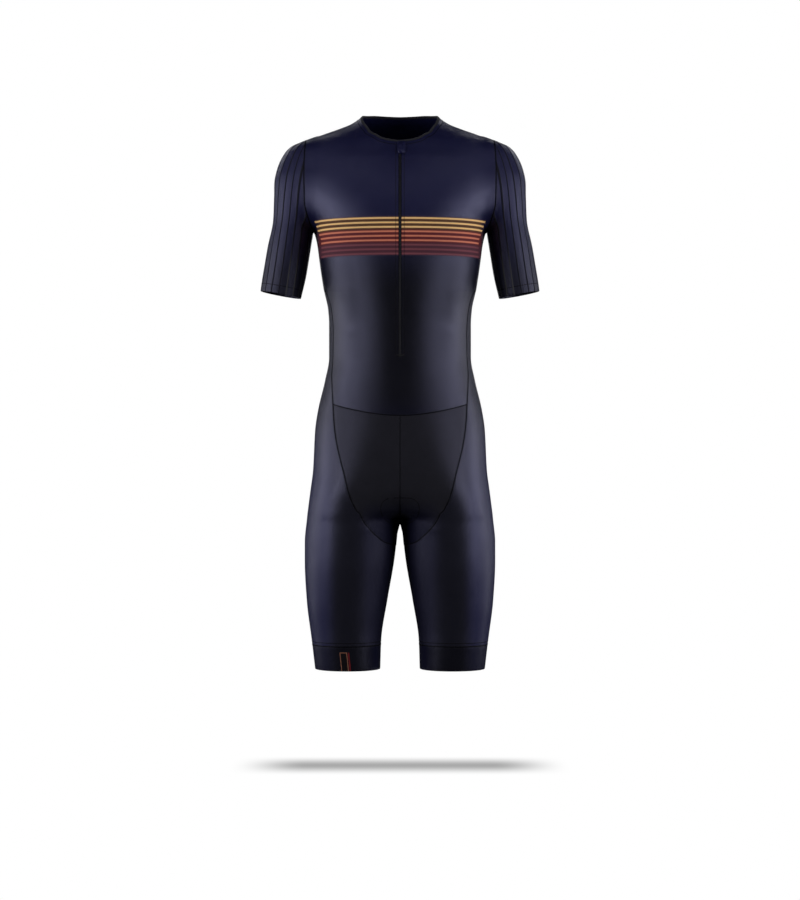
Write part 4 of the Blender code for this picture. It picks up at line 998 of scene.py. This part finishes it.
def buildSleeves():
    rows, shares = sleeveGrid()
    lifts = np.array(list(sleeveCut["ribLifts"]) * sleeveCut["ribs"] + [sleeveCut["ribLifts"][0]])
    lifts = lifts * sleeveCut["ribRise"] * np.clip(np.arange(len(rows)) / sleeveCut["ribFade"], 0, 1)[:, None]
    across = np.r_[shares, 1.0] * sleeveCut["flatWidth"]
    down = np.linspace(0, sleeveCut["flatLength"], len(rows))
    uvs = np.stack(np.broadcast_arrays(across[None, :], down[:, None]), axis=-1)
    for hand, flip in hands:
        laySheet("sleeve", gridPart(rows, uvs, lifts), "ribbed", hand, flip)


buildBody()
print("body cloth made")
buildBrief()
buildLegs()
buildSleeves()
print("brief, legs and sleeves made")

# ---------- neck binding, zip and garage ----------

neckTrim = {
    "height": 4.4, "centre": 1.15, "thickness": 2.2, "end": 0.6, "stops": 150, "bearings": (2.6, 180),
    "profile": ((0.5, -0.5), (0.54, -0.1), (0.50, 0.22), (0.32, 0.44), (0.0, 0.52), (-0.32, 0.44),
                (-0.50, 0.22), (-0.5, -0.5), (0.0, -0.5)),
}

zipSizes = {
    "tapeProfile": ((0.3, -2.7), (12.0, -2.7), (12.0, -1.9), (6.0, -1.8), (0.7, -1.85), (0.3, -2.3)),
    "tooth": (0.0027, 0.0046, 0.0015, 0.0009), "toothDeep": 0.75, "firstTooth": 6, "cord": (0.5, 0.4),
    "toothStep": 1.5, "toothAside": 0.5, "tapeColumn": -4,
    "garageCentre": 2.8, "garageWall": 1.0, "garageGap": 0.35, "garageColumns": 25,
    "garageDrops": ((0.6, 23.0, 28), (23.4, 27.6, 12)),
    "garageRows": ((0.6, 7.6, 0.3), (5.0, 7.6, 1.8), (11.0, 7.6, 3.4), (19.0, 7.6, 3.4), (23.0, 7.0, 3.0),
                   (26.0, 5.6, 1.6), (27.6, 3.4, 0.4)),
    "garageProfile": ((-1.0, 0.0), (-0.75, 0.92), (-0.2, 1.0), (0.3, 0.8), (0.75, 0.2), (1.0, 0.0)),
}

zipEdge = frontRows[openingRow:, -1][::-1]
zipMiddle = zipEdge * (0.0, 1.0, 1.0)


def sideways(line, normals):
    return unit(np.cross(np.gradient(line, axis=0), normals))


def neckLoop(inset=0.0):
    half = neckEdge(np.linspace(*neckTrim["bearings"], neckTrim["stops"]))
    half[0] = onSkin(neckTrim["end"], half[0][2], -1)[0]
    loop = np.vstack([half, mirror(half[-2::-1])])
    normals = outward(loop)
    up = sideways(loop, normals)
    up *= np.sign(up[len(up) // 2][2])
    return (settle(loop - up * inset, 3) if inset else loop), normals, up


def buildBinding():
    rings = []
    for point, normal, rise in zip(*neckLoop()):
        middle = point + rise * neckTrim["centre"] - normal * suitCut["wall"] / 2
        rings.append([middle + normal * out * neckTrim["thickness"] + rise * lift * neckTrim["height"]
                      for out, lift in neckTrim["profile"]])
    place(ringSweep("neckBinding", rings, trims["binding"]), "binding", "neck_binding")


def buildTapes():
    across = frontRows[openingRow:, zipSizes["tapeColumn"]][::-1] - zipEdge
    across, normals = across / across[:, :1], outward(zipEdge)
    rings = np.stack([zipEdge + across * (x - suitCut["zipOpening"] / 2) + normals * depth
                      for x, depth in zipSizes["tapeProfile"]], axis=1)
    for hand, flip in hands:
        piece = ringSweep("zipTape" + hand, mirror(rings) if flip else rings, trims["tape"])
        place(piece, "zip_tape", "zip_tape_" + hand.lower())


def buildGarage():
    table, profile = Table(zipSizes["garageRows"], "half", "lift"), Table(zipSizes["garageProfile"])
    shares = np.linspace(-1, 1, zipSizes["garageColumns"])
    drops = np.concatenate([np.linspace(*stops) for stops in zipSizes["garageDrops"]])
    sizes, rows = table.at(drops), []
    for drop, half in zip(drops, sizes["half"]):
        x = zipSizes["garageCentre"] + shares * half
        row = onSkin(np.abs(x), partway(zipMiddle, drop)[2], -1)
        rows.append(row * stack(np.where(x < 0, -1, 1), 1.0, 1.0))
    grid = np.array(rows)
    lifts = np.outer(sizes["lift"], profile.at(shares)) + zipSizes["garageGap"] + zipSizes["garageWall"]
    part = gridPart(grid.swapaxes(0, 1), lengthUvs(grid).swapaxes(0, 1), lifts.T)
    special = {"wall": zipSizes["garageWall"], "gap": 0.0, "tuck": 0.0, "follow": 1.0}
    piece = makeCloth("zipGarage", [part], cloths["plain"], **special)
    place(piece, "body_cloth", "zip_garage")
    flat, area = flatCuts["garage"]
    return grid, lifts.ravel()


buildBinding()
buildTapes()
garageGrid, garageTop = buildGarage()
print("neck and zip cloth made")

# ---------- sewing: rows of stitches and zip teeth along paths ----------

sewing = {  # strips as half width and rise, in millimetres; stitches as pitch, length, width and height, in metres
    "seam": (0.95, 0.30), "fold": (0.65, 0.16), "side": (0.42, 0.12),
    "profile": ((-1.0, 0.0), (-0.85, 0.6), (-0.3, 1.0), (0.3, 1.0), (0.85, 0.6), (1.0, 0.0)), "under": 0.5,
    "topStep": 2.0, "garageStep": 0.8, "garageInset": 2,
    "step": 2.5, "rowOffset": 1.9, "lift": 0.05, "flatlock": (0.0034, 0.0024, 0.00050, 0.0005),
}


def stitchTree():
    tree = bpy.data.node_groups.new("rowOfStitches", "GeometryNodeTree")
    sockets = [("Geometry", "Geometry"), ("Thread", "Material")]
    for label, kind in sockets + [(label, "Float") for label in ("Pitch", "Long", "Wide", "High", "Turn")]:
        tree.interface.new_socket(label, in_out="INPUT", socket_type="NodeSocket" + kind)
    tree.interface.new_socket("Geometry", in_out="OUTPUT", socket_type="NodeSocketGeometry")
    net = Net(tree)
    given = {socket.name: Wire(net, socket) for socket in tree.nodes.new("NodeGroupInput").outputs}
    curve = net.node("GeometryNodeMeshToCurve", {"Mesh": given["Geometry"]})
    curve = net.node("GeometryNodeResampleCurve", {"Curve": curve, "Length": given["Pitch"]}, mode="LENGTH")
    normal = net.node("GeometryNodeInputNamedAttribute", {"Name": "surfaceNormal"}, data_type="FLOAT_VECTOR")
    turn = net.node("FunctionNodeAlignRotationToVector", {"Vector": normal}, axis="Z")
    tangent = net.node("GeometryNodeInputTangent")
    turn = net.node("FunctionNodeAlignRotationToVector", {"Rotation": turn, "Vector": tangent},
                    axis="X", pivot_axis="Z")
    spin = net.node("ShaderNodeCombineXYZ", {"Z": given["Turn"]})
    turn = net.node("FunctionNodeRotateRotation", {"Rotation": turn, "Rotate By": spin}, rotation_space="LOCAL")
    bead = net.node("GeometryNodeMeshUVSphere", {"Segments": 6, "Rings": 4, "Radius": 0.5})
    size = net.node("ShaderNodeCombineXYZ", {"X": given["Long"], "Y": given["Wide"], "Z": given["High"]})
    rows = net.node("GeometryNodeInstanceOnPoints",
                    {"Points": curve, "Instance": bead, "Rotation": turn, "Scale": size})
    rows = net.node("GeometryNodeRealizeInstances", {"Geometry": rows})
    rows = net.node("GeometryNodeSetShadeSmooth", {"Geometry": rows})
    rows = net.node("GeometryNodeSetMaterial", {"Geometry": rows, "Material": given["Thread"]})
    rows.into(tree.nodes.new("NodeGroupOutput"), "Geometry")
    return tree


sewingTree = stitchTree()


def stitch(name, paths, sizes, thread, turn=0.0):  # runs the tree over paths of points and normals
    values = dict(zip(("Pitch", "Long", "Wide", "High"), sizes), Thread=thread, Turn=turn)
    points, edges, normals = [], [], []
    for line, normal in paths:
        edges += [(len(points) + n, len(points) + n + 1) for n in range(len(line) - 1)]
        points += (line * 0.001).tolist()
        normals += normal.tolist()
    mesh = bpy.data.meshes.new(name + "Paths")
    mesh.from_pydata(points, edges, [])
    mesh.attributes.new("surfaceNormal", "FLOAT_VECTOR", "POINT").data.foreach_set("vector", np.ravel(normals))
    guide = newObject(name + "Paths", mesh)
    modifier = guide.modifiers.new("rows", "NODES")
    modifier.node_group = sewingTree
    for item in sewingTree.interface.items_tree:
        if item.item_type == "SOCKET" and item.in_out == "INPUT" and item.name in values:
            modifier[item.identifier] = values[item.name]
    ready = guide.evaluated_get(bpy.context.evaluated_depsgraph_get())
    made = newObject(name, bpy.data.meshes.new_from_object(ready))
    made.data.name = name
    bpy.data.objects.remove(guide)
    return made


def both(line):
    return [line, mirror(line)]


def onCloth(line, lift=0.0, offset=0.0):  # moved sideways over the cloth, and lifted off it
    line = np.asarray(line, dtype=float)
    if offset:
        line = settle(line + sideways(line, outward(line)) * offset, 4)
    return dressed(line, lift)


def resampled(line, step=sewing["step"]):
    return spread(np.asarray(line), np.linspace(0, 1, max(3, int(lengths(line)[-1] / step))))


def seamStrip(name, line, kind="seam"):  # the dark edge where two pieces are joined, or a fold's thin line
    line, normals = onCloth(resampled(line))
    half, rise = sewing[kind]
    rings = [line + sideways(line, normals) * half * x + normals * (rise * up if up else -sewing["under"])
             for x, up in sewing["profile"]]
    return ringSweep(name, np.stack(rings, axis=1), trims["seam"])


def panelLine(name, side):
    indexes = np.linspace(suitCut["tipRow"], trunkGrid["lowerSteps"], detail["side"])
    return np.vstack([[sidePoint(index, side) for index in indexes], panels[name][1:]])


tip, pit = ((trunkGrid["lowerSteps"] - index) * trunkGrid["rowsPerStep"] for index in (suitCut["tipRow"], 0))
seamLines = {
    "body": both(frontRows[tip:pit + 1, 0])
    + both(frontRows[-1, :trunkGrid["shoulderAt"] * trunkGrid["perStop"] + 1])
    + [np.vstack([frontRows[0], mirror(frontRows[0][::-1])]), np.vstack([backRows[0], mirror(backRows[0][-2::-1])])],
    "legs": both(panelLine("front", -1)) + both(panelLine("back", 1))
    + both(inseamEdge(np.linspace(0, 1, detail["inseam"]))) + both(legRing(suitCut["bandSeam"], detail["band"])),
    "sleeves": both(np.vstack([frontArc, backArc[1:]])),
}

for group, lines in seamLines.items():
    strips = [seamStrip(group + str(n), line) for n, line in enumerate(lines)]
    place(joinPieces(group + "Seams", strips), "binding")
    rows = [onCloth(resampled(line), sewing["lift"], offset) for line in lines
            for offset in (-sewing["rowOffset"], sewing["rowOffset"])]
    place(stitch(group + "Stitches", rows, sewing["flatlock"], trims["thread"]), "binding")
print("seams sewn")

hems = {
    "sleeve": 14.0, "neck": 7.0, "neckEnds": 3, "bandAbove": 6.0, "zipSide": (7.4, -38, -409),
    "padLine": ((0, -660.3), (12, -660.4), (20, -661.4), (27, -664.6), (32, -670.5), (34, -679.0), (32.5, -689.0),
                (27.5, -698.0), (19, -705.0), (9, -709.5)),
    "barTack": (-7.0, 7.4, -409.0), "tackTurn": -0.25, "tackLift": 0.3, "lift": 0.1,
    "stitches": (0.0028, 0.0021, 0.00045, 0.0004), "tack": (0.0007, 0.0026, 0.0006, 0.0009),
}


def hemPaths():
    ends = hems["neckEnds"]
    cuff = cuffArc(sleeveCut["cuffFront"][0], sleeveCut["cuffBack"][1], hems["sleeve"])
    paths = both(cuff) + [neckLoop(hems["neck"])[0][ends:-ends]]
    paths += both(legRing(suitCut["bandSeam"] + hems["bandAbove"], detail["bandFold"]))
    across, top, end = hems["zipSide"]
    return paths, both(np.array([onSkin(across, z, -1)[0] for z in np.linspace(top, end, detail["zipSide"])]))


def padPath():
    line = hems["padLine"]
    places = np.linspace(0, len(line) - 1, detail["pad"])
    row = Table([(n, *point) for n, point in enumerate(line)], "x", "z").at(places)
    half = [onSkin(x, z, -1)[0] for x, z in zip(row["x"], row["z"])]
    return np.vstack([mirror(half[:0:-1]), half])


def topStitches():
    folds, sides = hemPaths()
    folds += [padPath(), middles["front"]]
    strips = [seamStrip("fold" + str(n), line, "fold") for n, line in enumerate(folds)]
    strips += [seamStrip("zipSide" + str(n), line, "side") for n, line in enumerate(sides)]
    place(joinPieces("foldLines", strips), "binding")
    paths = [onCloth(resampled(line, sewing["topStep"]), hems["lift"]) for line in folds + sides]
    flat = garageGrid.reshape(-1, 3)
    top = (flat + outward(flat) * (garageTop + sewing["lift"])[:, None]).reshape(garageGrid.shape)
    n = sewing["garageInset"]  # columns and rows from the flap's edge
    edge = np.vstack([top[:-n, n], top[-n - 1, n + 1:-n - 1], top[-n - 1::-1, -n - 1]])
    edge = resampled(edge, sewing["garageStep"])
    paths.append((edge, outward(edge)))
    place(stitch("topStitches", paths, hems["stitches"], trims["thread"]), "binding")


def zipTeeth():
    first, (wide, deep) = zipSizes["firstTooth"], zipSizes["cord"]
    aside = (zipSizes["toothAside"], 0.0, 0.0)
    line = zipMiddle[first:] - outward(zipMiddle + aside)[first:] * zipSizes["toothDeep"]
    line = resampled(line, zipSizes["toothStep"])
    path = [(line, outward(line + aside))]
    teeth = stitch("zipTeeth", path, zipSizes["tooth"], trims["coil"], math.pi / 2)
    turns = np.linspace(0, 2 * math.pi, detail["cord"])[:-1]
    rings = np.stack([line + stack(wide * math.cos(turn), deep * math.sin(turn), 0.0) for turn in turns], axis=1)
    cord = ringSweep("zipCord", rings, trims["coil"])
    place(joinPieces("zipTeeth", [teeth, cord]), "zip_plastic", "zip_teeth")


def barTack():
    left, right, height = hems["barTack"]
    line = np.array([onSkin(abs(x), height, -1)[0] * (1 if x > 0 else -1, 1, 1)
                     for x in np.linspace(left, right, detail["tack"])])
    turn = math.pi / 2 + hems["tackTurn"]
    tack = stitch("barTack", [dressed(line, hems["tackLift"])], hems["tack"], trims["thread"], turn)
    place(tack, "binding")


topStitches()
zipTeeth()
barTack()
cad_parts["zip_slider"].material_slots[0].material = trims["zip"]
print("hems, teeth and bar tack sewn")

# ---------- floor, world, lights and camera ----------


def studioLevel(net):  # how bright the floor and the world are to the eye and to the cloth
    sight = net.node("ShaderNodeLightPath")
    return sight * studio["paleForEye"] + (1.0 - sight) * studio["paleForCloth"]


def buildFloor():
    reach, height = studio["floorReach"], studio["floorHeight"]
    mesh = bpy.data.meshes.new("floor")
    mesh.from_pydata([(x * reach, y * reach, height) for x, y in ((-1, -1), (1, -1), (1, 1), (-1, 1))], [],
                     [(0, 1, 2, 3)])
    made = bpy.data.materials.new("paleFloor")
    made.use_nodes = True
    made.node_tree.nodes.clear()
    net = Net(made.node_tree)
    x, y, _ = net.parts(net.place())
    across = 1.0 - abs(x).smooth(*studio["shadowAcross"])
    deep = 1.0 - abs(y - studio["shadowMiddle"]).smooth(0.0, studio["shadowDeep"])
    level = (1.0 - across * deep * studio["shadowDark"]) * studioLevel(net)
    glow = net.node("ShaderNodeEmission", {"Color": (1.0, 1.0, 1.0, 1.0), "Strength": level})
    glow.into(made.node_tree.nodes.new("ShaderNodeOutputMaterial"), "Surface")
    mesh.materials.append(made)
    newObject("floor", mesh)


def buildWorld():
    world = bpy.data.worlds.new("paleStudio")
    bpy.context.scene.world = world
    world.use_nodes = True
    back = world.node_tree.nodes["Background"]
    back.inputs["Color"].default_value = (1.0, 1.0, 1.0, 1.0)
    studioLevel(Net(world.node_tree)).into(back, "Strength")


def buildLight(name, spot, aim, width, height, watts):
    data = bpy.data.lights.new(name, "AREA")
    data.shape = "RECTANGLE"
    data.size, data.size_y, data.energy = width, height, watts
    lamp = newObject(name, data)
    lamp.location = spot
    lamp.rotation_euler = (Vector(aim) - Vector(spot)).to_track_quat("-Z", "Y").to_euler()
    lamp.visible_camera = False


def buildLights():
    for name, spot, aim, *size in studio["pairs"]:
        buildLight("left" + name, spot, aim, *size)
        buildLight("right" + name, (-spot[0], *spot[1:]), (-aim[0], *aim[1:]), *size)
    buildLight(*studio["back"])


def buildCamera():
    data = bpy.data.cameras.new("eye")
    data.lens = studio["lens"]
    data.sensor_width = 36.0
    eye = newObject("eye", data)
    eye.location = (0.0, -studio["distance"], studio["eyeHeight"])
    eye.rotation_euler = (math.pi / 2, 0.0, 0.0)
    bpy.context.scene.camera = eye


buildFloor()
buildWorld()
buildLights()
buildCamera()
bpy.context.scene.view_settings.view_transform = "Standard"
print("studio set")
